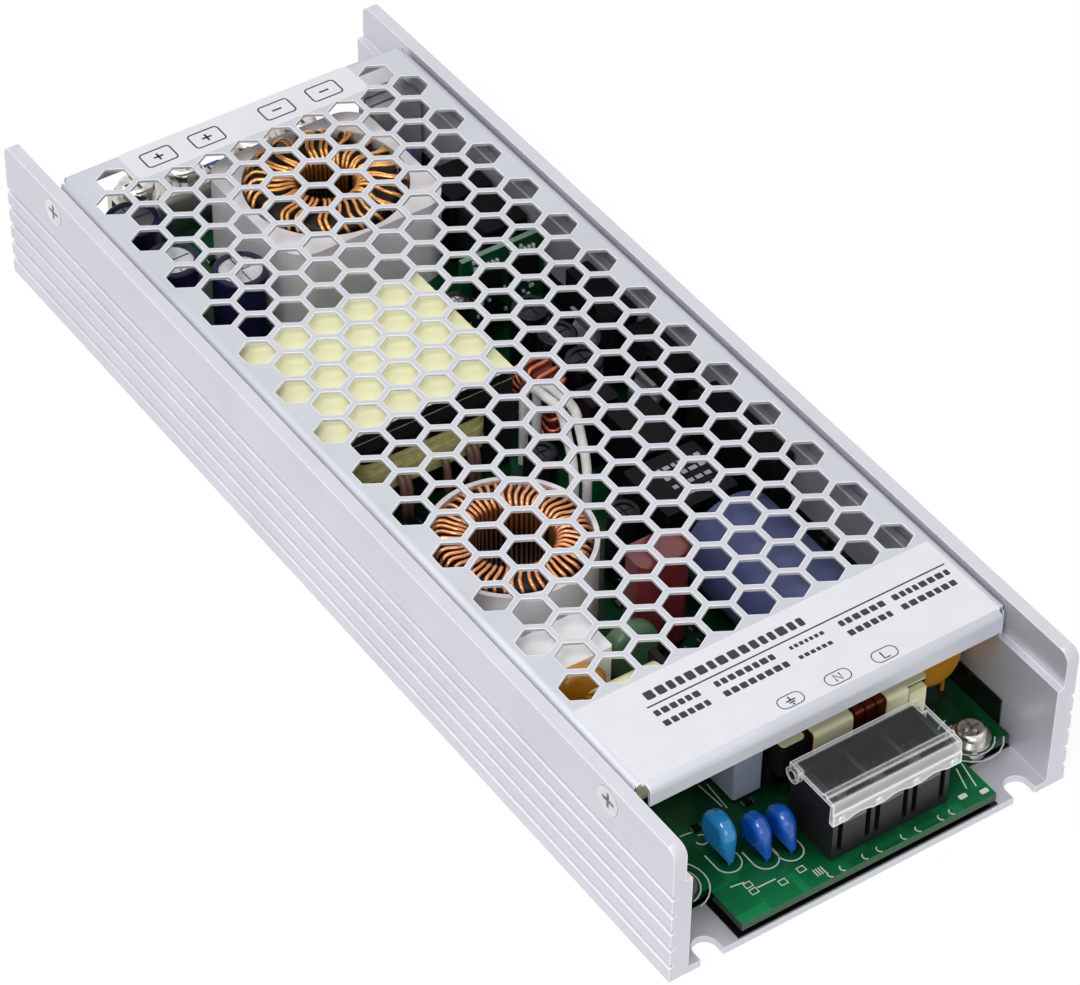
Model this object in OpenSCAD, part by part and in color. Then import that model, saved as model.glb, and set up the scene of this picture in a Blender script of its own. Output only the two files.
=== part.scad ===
// Slim enclosed switching power supply: grooved aluminium channel, honeycomb
// cover, one main board with its parts, input terminals and output terminals.
// Millimetres. X across, Y from the input end to the output end, Z up.
// The origin is the middle of the underside of the channel.

/* [Channel] */
// Length of the channel
case_l = 212; // [205:0.5:250]
// Width over the side walls
case_w = 81; // [80:0.5:95]
// Height of the side walls
case_h = 30; // [29:0.5:40]
// Thickness of the floor
floor_t = 1.5; // [1.2:0.1:2.2]
// Thickness of the wall below the ledge
wall_lower = 3.8; // [3.2:0.1:4.4]
// Thickness of the wall above the ledge
wall_upper = 2.5; // [2.2:0.1:2.8]
// Height of the ledge that carries the cover
ledge_z = 22.5; // [20:0.1:23.5]
// Number of grooves along each wall
groove_count = 5; // [3:1:5]
// Height of the lowest groove
groove_z = 3.6; // [3:0.1:4.5]
// Distance from groove to groove
groove_pitch = 4; // [3:0.1:4.4]
// Width of a groove at the surface
groove_w = 1.2; // [0.8:0.1:1.6]
// Depth of a groove
groove_d = 0.75; // [0.4:0.05:1]
// Radius on the upper corners of the wall ends
wall_end_r = 2; // [0.5:0.1:3]

/* [Mounting notches] */
// Width of a notch
notch_w = 4.5; // [3.4:0.1:5.5]
// Depth of a notch from the end of the floor
notch_l = 4.2; // [3.6:0.1:6]
// Distance of a notch from the side of the case
notch_inset = 8.5; // [7.5:0.1:10]

/* [Cover] */
// Thickness of the cover sheet
sheet_t = 0.6; // [0.5:0.1:1.2]
// Outside radius of the folds
fold_r = 1.5; // [1.3:0.1:2]
// Length of channel left open at each end
end_bay = 13.5; // [12.5:0.1:14.5]
// Gap between the cover and the upper wall
cover_gap = 0.5; // [0.2:0.1:0.8]
// Drop of the cover below the wall tops
cover_drop = 0.2; // [0:0.1:0.5]
// Height of the lip at each end
lip_h = 4; // [3:0.1:5]
// Relief between a lip and a side flange
corner_relief = 0.5; // [0.3:0.1:0.8]
// Hexagon width across its flats
hex_flat = 5.95; // [4:0.05:6.5]
// Web left between two hexagons
hex_web = 1.15; // [0.9:0.05:2]
// Plain edge beside the hexagons
hex_side = 5.5; // [4:0.1:8]
// Plain field at the input end
hex_near = 24.8; // [20:0.1:30]
// Plain field at the output end
hex_far = 12.5; // [10:0.1:20]

/* [Cover screws] */
// Distance of a wall screw from the case end
wall_screw_inset = 18; // [17:0.1:24]
// Radius of the screw shank
wall_screw_r = 1.4; // [1:0.05:1.5]
// Radius of the countersunk head
wall_screw_head_r = 2.7; // [2.2:0.05:2.9]
// Length of a wall screw
wall_screw_l = 4.6; // [4.2:0.1:6]

/* [Board] */
// Thickness of the main board
board_t = 1.6; // [1:0.1:2]
// Gap between floor and board
board_gap = 1.5; // [1.2:0.1:2]
// Width of the tongue at each end
tongue_w = 52; // [48:0.5:54]
// Length of the tongue
tongue_l = 9.3; // [8:0.1:10]
// Distance of the tongue end from the case end
board_inset = 0.3; // [0.1:0.1:1]
// Gap from board to insulating film, also from film to wall
board_clear = 0.125; // [0.05:0.025:0.3]
// Thickness of the insulating film
film_t = 0.25; // [0.15:0.05:0.4]
// Height of the folded film sides
film_h = 8.5; // [5:0.5:12]
// Radius of the board screws
board_screw_r = 1.5; // [1.2:0.05:1.7]
// Radius of the board screw heads
board_head_r = 2.8; // [2.5:0.1:3.2]
// Distance of a board screw from the board's side
board_screw_side = 5.9; // [5:0.1:7]
// Distance of a board screw from the shoulder
board_screw_in = 3; // [2.8:0.1:4]

/* [Input terminals] */
// Number of poles
poles = 3; // [2:1:3]
// Distance from pole to pole
pole_pitch = 7.62; // [7:0.01:8]
// Distance of the block from the middle of the case
terminal_x = 6.05; // [4:0.05:8]
// Depth of the block
terminal_d = 11.6; // [11:0.1:12.5]
// Height of the block
terminal_h = 13.6; // [12:0.1:14.5]
// Distance of the block's face from the case end
terminal_setback = 3.4; // [2:0.1:4.5]
// Thickness of a barrier between two poles
barrier_t = 0.9; // [0.7:0.1:1.2]
// Thickness of the end walls of the block
terminal_end_t = 1; // [0.8:0.1:1.4]
// Width of the pier under a contact
pier_w = 4.7; // [4:0.1:5.2]
// Height of a pier
pier_h = 7.6; // [6:0.1:8]
// Thickness of a contact plate
contact_t = 0.8; // [0.5:0.1:1.2]

/* [Terminal lid] */
// Thickness of the clear lid
lid_t = 0.8; // [0.6:0.05:1]
// Height of the front skirt
skirt_h = 4.8; // [3:0.1:5.5]
// Radius of the hinge pins on the block
hinge_pin_r = 0.8; // [0.6:0.05:1]
// Radial clearance in the hinge
hinge_clear = 0.06; // [0.02:0.01:0.1]
// Thickness of the hinge ears
ear_t = 1; // [0.7:0.1:1.3]

/* [Capacitors] */
// Diameter of the light blue disc capacitor
y_cap_d = 7.4; // [7:0.1:8.5]
// Diameter of the two blue disc capacitors beside it
y_cap_small_d = 6.2; // [5.5:0.1:7.4]
// Thickness of the blue disc capacitors
y_cap_t = 3.1; // [2.6:0.1:3.8]
// Thickness of the disc capacitors
disc_t = 4; // [3:0.1:4.2]
// Length of the lying bulk capacitor
bulk_l = 30.5; // [25:0.5:32]
// Diameter of the bulk capacitor
bulk_d = 19.5; // [16:0.5:20]
// Diameter of the output capacitors
out_cap_d = 10.5; // [8:0.5:11]
// Height of the output capacitors
out_cap_h = 17.4; // [12:0.1:20]

/* [Wound parts] */
// Diameter of the boost choke case
boost_d = 30; // [28:0.5:31]
// Height of the boost choke
boost_h = 19.4; // [15:0.1:21]
// Turns on the boost choke
boost_turns = 52; // [40:1:54]
// Wire thickness of the boost choke
boost_wire = 0.8; // [0.6:0.05:0.85]
// Width of the output choke case
out_choke_d = 35; // [32:0.5:36]
// Height of the output choke
out_choke_h = 19.8; // [15:0.1:21]
// Turns on the output choke
out_choke_turns = 20; // [14:1:21]
// Wire thickness of the output choke
out_choke_wire = 1.5; // [1.2:0.05:1.6]
// Width of the transformer
xfmr_w = 38.4; // [36:0.1:39]
// Length of the transformer
xfmr_l = 34; // [28:0.1:35]
// Gap between the transformer and the cover
xfmr_clear = 2.4; // [0.5:0.1:6]

/* [Hidden] */
$fn = 48;
// Small amount by which a cut passes a face
over = 1;
// Gap between neighbouring parts that do not touch
part_gap = 0.4;
// Gap round a part that sits inside another
fit_gap = 0.15;
// Largest corner radius of a wire turn
turn_corner_max = 2.6;

// Case and cover
cover_w = case_w - 2 * (wall_upper + cover_gap);
cover_l = case_l - 2 * end_bay;
cover_top = case_h - cover_drop;
cover_under = cover_top - sheet_t;
flange_l = cover_l - 2 * (fold_r + corner_relief);
lip_w = cover_w - 2 * (fold_r + corner_relief);
wall_screw_z = (ledge_z + case_h) / 2;
wall_screw_y = case_l / 2 - wall_screw_inset;
countersink_h = wall_screw_head_r - wall_screw_r;
screw_clear = 0.1;
recess_w = 0.7;
hex_pitch = hex_flat + hex_web;
hex_row = hex_pitch * sqrt(3) / 2;
hex_rows = floor((cover_l - hex_near - hex_far) / hex_row) + 1;
hex_columns = floor((cover_w - 2 * hex_side) / hex_pitch) + 1;
hex_first_y = cover_l / 2 - hex_far;
corner_hex = hex_columns / 2 - 1;

// Board
inner_w = case_w - 2 * wall_lower;
film_w = inner_w - 2 * board_clear;
board_w = film_w - 2 * (film_t + board_clear);
board_l = case_l - 2 * board_inset;
shoulder_l = board_l - 2 * tongue_l;
board_z = floor_t + board_gap;
top = board_z + board_t;
board_screw_x = board_w / 2 - board_screw_side;
board_screw_y = shoulder_l / 2 - board_screw_in;
board_washer_r = board_head_r + 0.7;
standoff_r = board_screw_r + 1.2;
film_margin = 0.6;
front = -case_l / 2;
rear = case_l / 2;
left = -board_w / 2;
right = board_w / 2;
lead_r = 0.35;

// Input terminals and lid
terminal_w = poles * pole_pitch + 2 * terminal_end_t - barrier_t;
terminal_front = front + terminal_setback;
terminal_rear = terminal_front + terminal_d;
terminal_top = top + terminal_h;
hinge_r = hinge_pin_r + 0.8;
hinge_y = terminal_rear - hinge_r;
hinge_z = terminal_top - hinge_r;
hinge_side = 0.15;
lid_seat = 0.05;
lid_front = terminal_front - lid_seat * 3 - lid_t;
lid_w = terminal_w + 2 * (hinge_side + ear_t);
lid_top = terminal_top + lid_seat + lid_t;
scallop_r = 6;
scallop_d = 0.6;
base_slab_t = 1.6;
rear_wall_t = 2 * hinge_r;
contact_y = hinge_y - hinge_r - 3.2;
contact_z = top + pier_h + contact_t;
terminal_screw_r = 2.6;

// Parts behind the input terminals, placed from the input end
y_cap_y = [front + 12, front + 9.3, front + 8.5];
lid_left = terminal_x - lid_w / 2;
y_cap_x = [lid_left - 12.9, lid_left - 7.4, lid_left - 3];
y_cap_lift = 1.4;
y_cap_lean = 3.2;
fuse_r = 2.6;
fuse_l = 10.4;
fuse_x = left + 6.2;
fuse_y = -board_screw_y + board_washer_r + 2 * part_gap;
filter_x = left + 3.2;
filter_y = fuse_y + fuse_l + 1.6;
filter_w = 20;
filter_l = 15;
filter_core_h = 19.4;
x_front_w = 5.9;
x_front_l = 17.5;
x_front_h = 14;
x_front_x = filter_x + filter_w + 1.4;
x_front_y = front + 22.5;
surge_d = 10.5;
surge_x = right - surge_d / 2 - 0.2;
line_x = x_front_x + x_front_w + 1.2;
line_y = terminal_rear + 3;
line_w = surge_x - surge_d / 2 - line_x - 0.05;
line_l = 17;
line_bar = 5;
line_core_h = 7;
line_core_z = top + 4.5;
line_turn_t = 1.3;
tape_t = 0.3;
surge_y = line_y + 6.2;

// Bulk row
bulk_y = line_y + line_l + 1;
bulk_side = 7.6;
bulk_x = right - bulk_side - bulk_d / 2;
x_rear_w = 16;
x_rear_l = 10;
x_rear_h = 19.4;
x_rear_x = left + 1.7;
rear_disc_d = 11;
rear_disc_t = 3;
rear_disc_y = filter_y + filter_l + part_gap + rear_disc_t / 2;
x_rear_y = rear_disc_y + rear_disc_t / 2 + part_gap;
inrush_d = 11;
inrush_x = x_rear_x + x_rear_w + 1.5 + inrush_d / 2;
inrush_y = x_rear_y + x_rear_l / 2;
film_cap_w = 10.6;
film_cap_l = 7;
film_cap_h = 21.5;
film_cap_x = inrush_x + inrush_d / 2 + part_gap;
film_cap_y = x_rear_y + x_rear_l - part_gap;

// Boost row
boost_x = left + 4.2 + boost_d / 2;
boost_y = film_cap_y + film_cap_l + part_gap + boost_d / 2;
cup_t = 0.9;
relay_w = 15;
relay_l = 13.5;
relay_h = 16.4;
relay_x = right - 12.2 - relay_w;
relay_y = bulk_y + bulk_l + 4;
bridge_w = 4.6;
bridge_l = 25;
bridge_h = 17;
bridge_y = bulk_y + bulk_l + 4.5;
drive_w = 9;
drive_l = 13;
drive_h = 15;
drive_x = relay_x + relay_w + 1.4 - drive_w;
drive_y = relay_y + relay_l + 2.5;
feedback_w = 6;
feedback_l = 5.7;
feedback_h = 14.6;

// Parts placed from the output end
out_cap_side = 4.1;
out_cap_step = 9;
out_cap_x = left + out_cap_side + out_cap_d / 2;
out_cap_at = [[out_cap_x, rear - 22.7], [out_cap_x, rear - 36.8], [out_cap_x + out_cap_step, rear - 46]];
out_choke_x = right - 28.2;
out_choke_y = rear - 34;
out_choke_room = 1.1;
out_choke_corner = 6;
bypass_d = 6;
bypass_x = right - 7.2;
bypass_y = rear - 26.6;
sink_w = 9.6;
sink_l = 7;
sink_h = 19.6;
sink_y = board_screw_y - board_washer_r - part_gap - sink_l;
xfmr_h = cover_under - xfmr_clear - top;
xfmr_x = left + 2.7 + xfmr_w / 2;
// The free length between boost choke and output cans is shared round the transformer
boost_rear = boost_y + boost_d / 2;
xfmr_free = out_cap_at[2][1] - out_cap_d / 2 - boost_rear - xfmr_l;
xfmr_y = boost_rear + 0.48 * xfmr_free + xfmr_l / 2;
xfmr_corner = 4;
xfmr_foot = 5;
xfmr_slab = 5;
xfmr_leg = 4.5;
xfmr_post_r = 6;
xfmr_proud = 1.6;
xfmr_base_t = 1.5;
bobbin_t = 1;
control_t = 1.2;
control_w = 18;
control_h = 19.4;
control_x = right - 3.2 - control_w;
control_y = xfmr_y + xfmr_l / 2 - control_t;
resonant_d = 15;
resonant_t = 6.4;
resonant_x = xfmr_x + xfmr_w / 2 + 6;
resonant_y = xfmr_y - xfmr_l / 2 + 5.6;
feedback_x = resonant_x + resonant_t - 2;
feedback_y = resonant_y - resonant_d / 2 - part_gap - feedback_l;
small_cap_d = 7.4;
small_cap_h = 15;
small_cap_x = resonant_x + resonant_t + 0.6 + small_cap_d / 2;
small_cap_pitch = 8.5;
small_cap_y = resonant_y - 2.1;
package_t = 4.8;
package_w = 15.6;
package_h = 17;
package_lift = 3.5;
package_count = 2;
// The free length between bridge rectifier and control board is shared between the packages
package_free = control_y - bridge_y - bridge_l - package_count * package_w;
package_gap = 0.22 * package_free;
package_y = bridge_y + bridge_l + 0.19 * package_free;
clip_t = 0.8;
lead_wire_r = 0.85;
lead_wire_bend = 4;
lead_wire_turn = 9;
lead_wire_z = top + 19.4;
lead_wire_from = [xfmr_x + xfmr_w / 2 + 3.8, xfmr_y - xfmr_l / 2 - 0.4];
lead_wire_corner = lead_wire_from + [1.2, -9.8];
lead_wire_to = [boost_x + boost_d / 2 + 4.9, boost_y + 6.1];
lead_wire_shift = [-2.3, 0.7];

// Output terminals
out_y = rear - 8.2;
bar_l = 17.5;
bar_d = 9.4;
bar_h = 9;
bar_t = 1.6;
bar_offset = 12.8;
bar_screw_pitch = 10.2;
out_screw_r = 2;
out_head_r = 3.6;
trimmer_w = 6.4;
trimmer_h = 5;
rotor_r = 2;
rotor_h = 1.6;
rotor_clear = 0.05;
lamp_r = 1.5;
lamp_h = 4.2;
lamp_x = bar_offset + bar_l / 2 + 3;

// Flat outlines and small shared solids

// Rectangle with round corners, centred
module rounded_square(w, l, r) {
  square([w - 2 * r, l], center = true);
  square([w, l - 2 * r], center = true);
  for (x = [-1, 1], y = [-1, 1])
    translate([x * (w / 2 - r), y * (l / 2 - r)])
      circle(r);
}

// Upright block with round vertical edges, centred in plan
module rounded_block(w, l, h, r) {
  linear_extrude(h)
    rounded_square(w, l, r);
}

// Flat ring outline between two rounded rectangles
module rounded_ring(w, l, r, t) {
  difference() {
    rounded_square(w, l, r);
    rounded_square(w - 2 * t, l - 2 * t, max(r - t, t / 2));
  }
}

// Disc with a rounded rim, its axis along Z, centred
module coated_disc(d, t) {
  rim = 0.42 * t;
  rotate_extrude()
    intersection() {
      rounded_square(d, t, rim);
      translate([0, -t])
        square([d, 2 * t]);
    }
}

// Two straight leads that carry a part above the board, along X
module lead_pair(pitch, h) {
  for (s = [-1, 1])
    translate([s * pitch / 2, 0, 0])
      cylinder(r = lead_r, h = h, $fn = 16);
}

// Upright round can with a crimped top edge and a bead near its foot
module upright_can(d, h) {
  bead_z = 1.8;
  bead_d = 0.35;
  rim = 0.5;
  difference() {
    rotate_extrude()
      difference() {
        square([d / 2, h]);
        translate([d / 2 + 0.3, bead_z])
          circle(bead_d + 0.3);
        translate([d / 2 - rim, h - rim])
          difference() {
            square(2 * rim);
            circle(rim);
          }
        translate([0, h - 0.3])
          square([d / 2 - 1.2, over]);
      }
    for (a = [0, 90])
      rotate([0, 0, a])
        translate([-d / 2 + 1.6, -0.15, h - 0.5])
          cube([d - 3.2, 0.3, over]);
  }
}

// Round can that lies along Y from the origin, on its side
module lying_can(d, l) {
  translate([0, 0, d / 2 + fit_gap])
    rotate([-90, 0, 0])
      upright_can(d, l);
}

// Corner radius of a turn round a ring core
function turn_corner(r_in, r_out) = min(turn_corner_max, (r_out - r_in) / 3);

// Wire turns round a ring core: n flat loops set radially, seat at z = 0
module wire_turns(n, r_in, r_out, h, wire) {
  for (i = [0 : n - 1])
    rotate([0, 0, i * 360 / n])
      translate([(r_in + r_out) / 2, wire / 2, h / 2])
        rotate([90, 0, 0])
          linear_extrude(wire)
            rounded_ring(r_out - r_in, h, turn_corner(r_in, r_out), wire);
}

// Ring core that fits inside such turns
module turn_core(r_in, r_out, h, wire) {
  inner = r_in + wire + fit_gap;
  outer = r_out - wire - fit_gap;
  edge = max(turn_corner(r_in, r_out) - wire, wire / 2);
  translate([0, 0, h / 2])
    rotate_extrude()
      translate([(inner + outer) / 2, 0])
        rounded_square(outer - inner, h - 2 * (wire + fit_gap), edge);
}

// Open round case with a floor
module round_cup(d, h, t) {
  difference() {
    cylinder(d = d, h = h);
    translate([0, 0, t])
      cylinder(d = d - 2 * t, h = h);
  }
}

// Open block with a floor and a round bore
module bored_case(w, l, h, r, bore_r, t) {
  difference() {
    rounded_block(w, l, h, r);
    translate([0, 0, t])
      cylinder(r = bore_r, h = h);
  }
}

// Cross recess cut into a screw head that points along +Z
module cross_recess(r, depth) {
  for (a = [0, 90])
    rotate([0, 0, a])
      translate([-r, -recess_w / 2, -depth])
        cube([2 * r, recess_w, depth + over]);
}

// Pan-head screw with its washer, head up, seat of the washer at z = 0
module washer_screw(shank_r, head_r, washer_r, shank_l) {
  washer_t = 0.6;
  head_h = 0.7 * head_r;
  dome = 0.5 * head_h;
  difference() {
    rotate_extrude()
      union() {
        square([washer_r, washer_t]);
        square([head_r, washer_t + head_h - dome]);
        intersection() {
          translate([0, washer_t + head_h - dome])
            square([head_r, dome]);
          translate([head_r - dome, washer_t + head_h - dome])
            circle(dome);
        }
        square([head_r - dome, washer_t + head_h]);
      }
    translate([0, 0, washer_t + head_h])
      cross_recess(0.62 * head_r, 0.6 * head_h);
  }
  translate([0, 0, -shank_l])
    cylinder(r = shank_r, h = shank_l + washer_t / 2);
}

// Places for the four board screws
module at_board_screws() {
  for (x = [-1, 1], y = [-1, 1])
    translate([x * board_screw_x, y * board_screw_y, 0])
      children();
}

// Case and cover

// Section of the channel across its length
module channel_section() {
  difference() {
    translate([-case_w / 2, 0])
      square([case_w, case_h]);
    translate([-inner_w / 2, floor_t])
      square([inner_w, case_h]);
    translate([-case_w / 2 + wall_upper, ledge_z])
      square([case_w - 2 * wall_upper, case_h]);
    for (s = [-1, 1], i = [0 : groove_count - 1])
      translate([s * case_w / 2, groove_z + i * groove_pitch])
        polygon([
          [s * over, -groove_w / 2], [0, -groove_w / 2], [-s * groove_d, -groove_w / 4],
          [-s * groove_d, groove_w / 4], [0, groove_w / 2], [s * over, groove_w / 2]
        ]);
  }
}

// Side view of the channel: upper corners rounded
module channel_side() {
  translate([0, case_h / 2 - wall_end_r / 2])
    square([case_l, case_h - wall_end_r], center = true);
  translate([0, case_h - wall_end_r])
    square([case_l - 2 * wall_end_r, 2 * wall_end_r], center = true);
  for (s = [-1, 1])
    translate([s * (case_l / 2 - wall_end_r), case_h - wall_end_r])
      circle(wall_end_r);
}

module base_channel() {
  color([0.84, 0.85, 0.87])
    difference() {
      intersection() {
        rotate([90, 0, 0])
          linear_extrude(case_l, center = true)
            channel_section();
        rotate([90, 0, 90])
          linear_extrude(case_w + 2 * over, center = true)
            channel_side();
      }
      for (x = [-1, 1], y = [-1, 1])
        translate([x * (case_w / 2 - notch_inset), y * (case_l / 2 - notch_l + notch_w / 2), -over]) {
          cylinder(d = notch_w, h = floor_t + 2 * over);
          translate([-notch_w / 2, y > 0 ? 0 : -notch_l, 0])
            cube([notch_w, notch_l, floor_t + 2 * over]);
        }
      for (x = [-1, 1], y = [-1, 1])
        translate([x * case_w / 2, y * wall_screw_y, wall_screw_z])
          rotate([0, x * 90, 0]) {
            translate([0, 0, -wall_upper - over])
              cylinder(r = wall_screw_r + screw_clear, h = wall_upper + 2 * over);
            translate([0, 0, -countersink_h])
              cylinder(r1 = wall_screw_r + screw_clear, r2 = wall_screw_head_r + screw_clear + over,
                       h = countersink_h + over);
          }
    }
}

// Section of a fold: heel in the plate, bend from the origin, leg hanging down
module fold_section(drop) {
  translate([-over, -sheet_t])
    square([over, sheet_t]);
  intersection() {
    translate([0, -fold_r])
      difference() {
        circle(fold_r);
        circle(fold_r - sheet_t);
      }
    translate([0, -fold_r])
      square(fold_r + over);
  }
  translate([fold_r - sheet_t, -drop])
    square([sheet_t, drop - fold_r]);
}

// One row of hexagons at each place of the pattern
module hex_pattern() {
  for (k = [0 : hex_rows - 1]) {
    n = hex_columns - k % 2;
    for (i = [0 : n - 1])
      translate([(i - (n - 1) / 2) * hex_pitch, hex_first_y - k * hex_row])
        children();
  }
  for (s = [-1, 1])
    translate([s * corner_hex * hex_pitch, hex_first_y + hex_row])
      children();
}

module cover() {
  color([0.77, 0.78, 0.81])
    difference() {
      union() {
        translate([0, 0, cover_under])
          linear_extrude(sheet_t)
            difference() {
              square([cover_w - 2 * fold_r, cover_l - 2 * fold_r], center = true);
              hex_pattern()
                rotate(30)
                  circle(d = hex_flat / cos(30), $fn = 6);
            }
        for (s = [0, 1])
          rotate([0, 0, 180 * s]) {
            translate([cover_w / 2 - fold_r, flange_l / 2, cover_top])
              rotate([90, 0, 0])
                linear_extrude(flange_l)
                  fold_section(cover_top - ledge_z);
            translate([-lip_w / 2, cover_l / 2 - fold_r, cover_top])
              rotate([90, 0, 90])
                linear_extrude(lip_w)
                  fold_section(lip_h);
          }
      }
      for (y = [-1, 1])
        translate([0, y * wall_screw_y, wall_screw_z])
          rotate([0, 90, 0])
            cylinder(r = wall_screw_r + screw_clear / 2, h = cover_w + 2 * over, center = true);
    }
}

module cover_screws() {
  color([0.7, 0.71, 0.73])
    for (x = [-1, 1], y = [-1, 1])
      translate([x * case_w / 2, y * wall_screw_y, wall_screw_z])
        rotate([0, x * 90, 0])
          difference() {
            union() {
              translate([0, 0, -countersink_h])
                cylinder(r1 = wall_screw_r, r2 = wall_screw_head_r, h = countersink_h);
              translate([0, 0, -wall_screw_l])
                cylinder(r = wall_screw_r, h = wall_screw_l - countersink_h / 2);
            }
            cross_recess(0.6 * wall_screw_head_r, 0.7 * countersink_h);
          }
}

// Board and what holds it

// Outline of the board with its tongues, grown by a margin
module board_outline(margin, end_margin) {
  square([board_w, shoulder_l], center = true);
  square([tongue_w + 2 * margin, board_l + 2 * end_margin], center = true);
}

module insulation_tray() {
  color([0.07, 0.07, 0.08]) {
    translate([0, 0, floor_t])
      difference() {
        linear_extrude(film_t) {
          square([film_w, shoulder_l], center = true);
          square([tongue_w + 2 * film_margin, board_l], center = true);
        }
        at_board_screws()
          translate([0, 0, -over])
            cylinder(r = standoff_r + fit_gap, h = film_t + 2 * over);
      }
    for (s = [-1, 1])
      translate([s * (film_w - film_t) / 2 - film_t / 2, -board_screw_y, floor_t])
        cube([film_t, 2 * board_screw_y, film_h]);
  }
}

module main_board() {
  color([0.07, 0.38, 0.22])
    translate([0, 0, board_z])
      difference() {
        linear_extrude(board_t)
          board_outline(0, 0);
        at_board_screws()
          translate([0, 0, -over])
            cylinder(r = board_screw_r + screw_clear, h = board_t + 2 * over);
      }
}

module board_standoffs() {
  color([0.72, 0.72, 0.74])
    at_board_screws()
      translate([0, 0, floor_t])
        difference() {
          cylinder(r = standoff_r, h = board_gap);
          translate([0, 0, -over])
            cylinder(r = board_screw_r + screw_clear, h = board_gap + 2 * over);
        }
}

module board_screws() {
  color([0.78, 0.76, 0.72])
    at_board_screws()
      translate([0, 0, top])
        washer_screw(board_screw_r, board_head_r, board_washer_r, board_t + board_gap);
}

// Input terminals and their lid

// Places for the poles, at the left end of the block first
module at_poles() {
  for (i = [0 : poles - 1])
    translate([terminal_x + (i - (poles - 1) / 2) * pole_pitch, 0, 0])
      children();
}

module terminal_block() {
  wall_y = terminal_rear - rear_wall_t;
  color([0.09, 0.09, 0.1]) {
    difference() {
      union() {
        translate([terminal_x - terminal_w / 2, terminal_front, top])
          cube([terminal_w, terminal_d, base_slab_t]);
        translate([terminal_x - terminal_w / 2, wall_y, top])
          cube([terminal_w, rear_wall_t, terminal_h]);
        for (s = [-1, 1])
          translate([terminal_x + s * (terminal_w - terminal_end_t) / 2 - terminal_end_t / 2,
                     terminal_front, top])
            cube([terminal_end_t, terminal_d, terminal_h]);
        for (i = [1 : poles - 1])
          translate([terminal_x + (i - poles / 2) * pole_pitch - barrier_t / 2, terminal_front, top])
            cube([barrier_t, terminal_d, terminal_h]);
        at_poles()
          translate([-pier_w / 2, terminal_front, top])
            cube([pier_w, terminal_d - rear_wall_t / 2, pier_h]);
      }
      translate([terminal_x - terminal_w / 2 - over, hinge_y, hinge_z])
        difference() {
          cube([terminal_w + 2 * over, hinge_r + over, hinge_r + over]);
          translate([-over, 0, 0])
            rotate([0, 90, 0])
              cylinder(r = hinge_r, h = terminal_w + 4 * over);
        }
    }
    for (s = [-1, 1])
      translate([terminal_x + s * terminal_w / 2, hinge_y, hinge_z])
        rotate([0, s * 90, 0])
          cylinder(r = hinge_pin_r, h = hinge_side + ear_t);
  }
}

module terminal_contacts() {
  plate_l = terminal_d - rear_wall_t;
  hole_r = 1.25;
  color([0.72, 0.7, 0.66])
    at_poles()
      difference() {
        translate([-pier_w / 2, terminal_front, top + pier_h])
          cube([pier_w, plate_l, contact_t]);
        translate([0, contact_y, top + pier_h - over])
          cylinder(r = hole_r, h = contact_t + 2 * over);
      }
}

module terminal_screws() {
  color([0.45, 0.45, 0.46])
    at_poles()
      translate([0, contact_y, contact_z])
        washer_screw(1.2, terminal_screw_r - 0.3, terminal_screw_r, contact_t - fit_gap);
}

// Side view of the lid: plate, bead, shoulder and skirt
module lid_section() {
  bead_r = 0.45;
  shoulder = 1.5;
  lid_under = terminal_top + lid_seat;
  translate([lid_front + lid_t, lid_under])
    square([hinge_y - lid_front - lid_t + hinge_r - lid_t, lid_t]);
  translate([lid_front + lid_t + 1.6, lid_top])
    circle(bead_r);
  translate([lid_front + lid_t, lid_under])
    intersection() {
      circle(lid_t);
      translate([-lid_t, 0])
        square(lid_t);
    }
  translate([lid_front, lid_top - skirt_h])
    square([lid_t, skirt_h - lid_t]);
  translate([lid_front - 0.25, lid_top - skirt_h])
    square([lid_t, skirt_h - lid_t - shoulder]);
}

module terminal_cover() {
  dimple_r = 0.5;
  color([0.85, 0.88, 0.9, 0.5]) {
    difference() {
      translate([terminal_x - lid_w / 2, 0, 0])
        rotate([90, 0, 90])
          linear_extrude(lid_w)
            lid_section();
      at_poles()
        translate([0, lid_front - over, lid_top - skirt_h - scallop_r + scallop_d])
          rotate([-90, 0, 0])
            cylinder(r = scallop_r, h = lid_t + 2 * over);
    }
    for (i = [0 : poles])
      translate([terminal_x + (i - poles / 2) * pole_pitch, lid_front - 0.25, lid_top - skirt_h + 1.1])
        rotate([90, 0, 0])
          cylinder(r = dimple_r, h = 0.25);
    for (s = [-1, 1])
      translate([terminal_x + s * (lid_w / 2 - ear_t / 2) - ear_t / 2, hinge_y, hinge_z])
        difference() {
          union() {
            rotate([0, 90, 0])
              cylinder(r = hinge_r, h = ear_t);
            translate([0, -hinge_r, 0])
              cube([ear_t, hinge_r + hinge_r - lid_t, lid_top - hinge_z - lid_t / 2]);
          }
          translate([-over, 0, 0])
            rotate([0, 90, 0])
              cylinder(r = hinge_pin_r + hinge_clear, h = ear_t + 2 * over);
        }
  }
}

// Parts at the input end

// Disc capacitor in the YZ plane whose coating runs down to its front lead
module teardrop_capacitor(d) {
  disc_z = y_cap_lift + d / 2;
  tail_r = 0.8;
  hull() {
    translate([0, y_cap_lean, disc_z])
      rotate([0, 90, 0])
        coated_disc(d, y_cap_t, $fn = 32);
    translate([0, 0, tail_r + 0.5])
      sphere(tail_r, $fn = 16);
  }
  cylinder(r = lead_r, h = 2, $fn = 16);
  translate([0, 2 * y_cap_lean, 0])
    cylinder(r = lead_r, h = disc_z, $fn = 16);
}

module y_capacitor_1() {
  color([0.22, 0.55, 0.82])
    translate([y_cap_x[0], y_cap_y[0], top])
      teardrop_capacitor(y_cap_d);
}

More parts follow.
